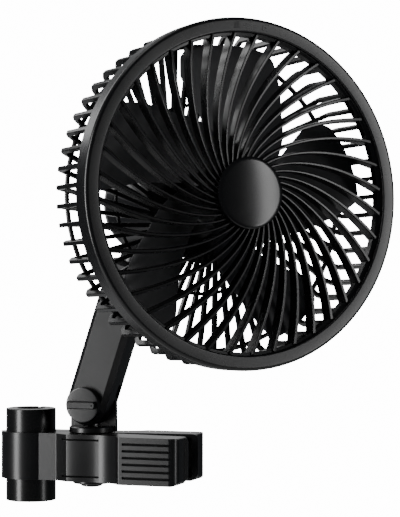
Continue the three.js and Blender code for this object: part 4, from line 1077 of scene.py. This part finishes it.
def dress_kept_nodes():
    for key, names in KEPT.items():
        slot, look = MATERIALS[key]
        for name in names:
            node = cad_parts[name]
            node.data.materials.clear()
            node.data.materials.append(look)
            node.data.shade_smooth()
            node.data.set_sharp_from_angle(angle=math.radians(KEPT_SMOOTH))


# ---------------------------------------------------------------- studio and camera

VIEW = math.radians(19)
VIEW_DIR = Vector((-math.sin(VIEW), math.cos(VIEW), 0))
VIEW_RIGHT = Vector((math.cos(VIEW), math.sin(VIEW), 0))
FOCAL_PIXELS = 2312
IMAGE = (400, 517)
SENSOR = 36
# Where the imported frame's origin and the camera's axis lie in the photograph
ORIGIN_PIXEL = (31.1, 453.5)
AXIS_PIXEL = (200, 225)
CAMERA_DISTANCE = 1.350
CAMERA_REACH = 20
FLOOR = {"height": -0.45, "radius": 1.1, "thick": 0.02}
FLOOR_COLOR = (0.85, 0.85, 0.85, 1)
FLOOR_ROUGHNESS = 0.7
BACKDROP = (0.93, 0.93, 0.93, 1)
BACKDROP_POWER = 16.0
SOFT_WORLD = (0.85, 0.92, 1.0, 1)
SOFT_POWER = 0.06
AIM = Vector((0.1, -0.04, 0.12))
# Name, size and power, then the place from AIM: to the right, towards the camera and up
LIGHTS = [
    ("soft_left", (0.42, 1.4), 25, (-1.26, 0.78, 0.15)),
    ("soft_right", (0.22, 1.0), 5.2, (1.28, 0.59, 0.10)),
    ("soft_top", (1.2, 0.5), 3.2, (-0.3, 0.0, 1.3)),
    ("rim_left", (0.6, 0.9), 6, (-1.05, -0.75, 0.85)),
    ("soft_back", (1.7, 1.5), 6, (-0.3, -2.0, 0.15)),
]


def area_light(name, size, power, spot):
    data = bpy.data.lights.new(name, "AREA")
    data.shape = "RECTANGLE"
    data.size, data.size_y = size
    data.energy = power
    obj = bpy.data.objects.new(name, data)
    bpy.context.scene.collection.objects.link(obj)
    obj.location = spot
    obj.rotation_euler = (AIM - spot).to_track_quat("-Z", "Y").to_euler()


def make_camera():
    """A level camera at the photograph's angle, shifted so that the object lies where it does there."""
    data = bpy.data.cameras.new("camera")
    data.sensor_width = SENSOR
    data.lens = FOCAL_PIXELS / IMAGE[1] * SENSOR
    data.shift_y = (AXIS_PIXEL[1] - IMAGE[1] / 2) / IMAGE[1]
    data.clip_end = CAMERA_REACH
    obj = bpy.data.objects.new("camera", data)
    bpy.context.scene.collection.objects.link(obj)
    aside = (ORIGIN_PIXEL[0] - AXIS_PIXEL[0]) / FOCAL_PIXELS * CAMERA_DISTANCE
    below = (ORIGIN_PIXEL[1] - AXIS_PIXEL[1]) / FOCAL_PIXELS * CAMERA_DISTANCE
    obj.location = -VIEW_DIR * CAMERA_DISTANCE - VIEW_RIGHT * aside + Vector((0, 0, below))
    obj.rotation_euler = (math.pi / 2, 0, VIEW)
    bpy.context.scene.camera = obj


def make_world():
    """White behind the object and dim, soft light around it."""
    world = bpy.data.worlds.new("studio")
    world.use_nodes = True
    tree = world.node_tree
    soft = tree.nodes["Background"]
    soft.inputs["Color"].default_value = SOFT_WORLD
    soft.inputs["Strength"].default_value = SOFT_POWER
    white = tree.nodes.new("ShaderNodeBackground")
    white.inputs["Color"].default_value = BACKDROP
    white.inputs["Strength"].default_value = BACKDROP_POWER
    path = tree.nodes.new("ShaderNodeLightPath")
    mix = tree.nodes.new("ShaderNodeMixShader")
    tree.links.new(path.outputs["Is Camera Ray"], mix.inputs["Fac"])
    tree.links.new(soft.outputs["Background"], mix.inputs[1])
    tree.links.new(white.outputs["Background"], mix.inputs[2])
    tree.links.new(mix.outputs["Shader"], tree.nodes["World Output"].inputs["Surface"])
    bpy.context.scene.world = world


def make_studio():
    """A plain pale floor, the white world and the soft lights."""
    top, radius = FLOOR["height"], FLOOR["radius"]
    low = top - FLOOR["thick"]
    floor = build("floor", lathe([(0, low), (radius, low), (radius, top), (0, top)]))
    material = bpy.data.materials.new("pale_floor")
    material.use_nodes = True
    shader = material.node_tree.nodes["Principled BSDF"]
    shader.inputs["Base Color"].default_value = FLOOR_COLOR
    shader.inputs["Roughness"].default_value = FLOOR_ROUGHNESS
    floor.data.materials.append(material)
    make_world()
    for name, size, power, (right, ahead, up) in LIGHTS:
        area_light(name, size, power, AIM + VIEW_RIGHT * right - VIEW_DIR * ahead + Vector((0, 0, up)))


# ---------------------------------------------------------------- everything

for make in (
    make_sleeve, make_front_jaw, make_rear_jaw, make_hinge, make_bracket, make_spring,
    make_arm_front, make_arm_rear, make_knob, make_post,
    make_rear_housing, make_motor_housing, make_back_panel, make_buttons, make_fan,
    make_grille, make_marks, make_hub_cap, make_cage,
    dress_kept_nodes, make_studio, make_camera,
):
    make()
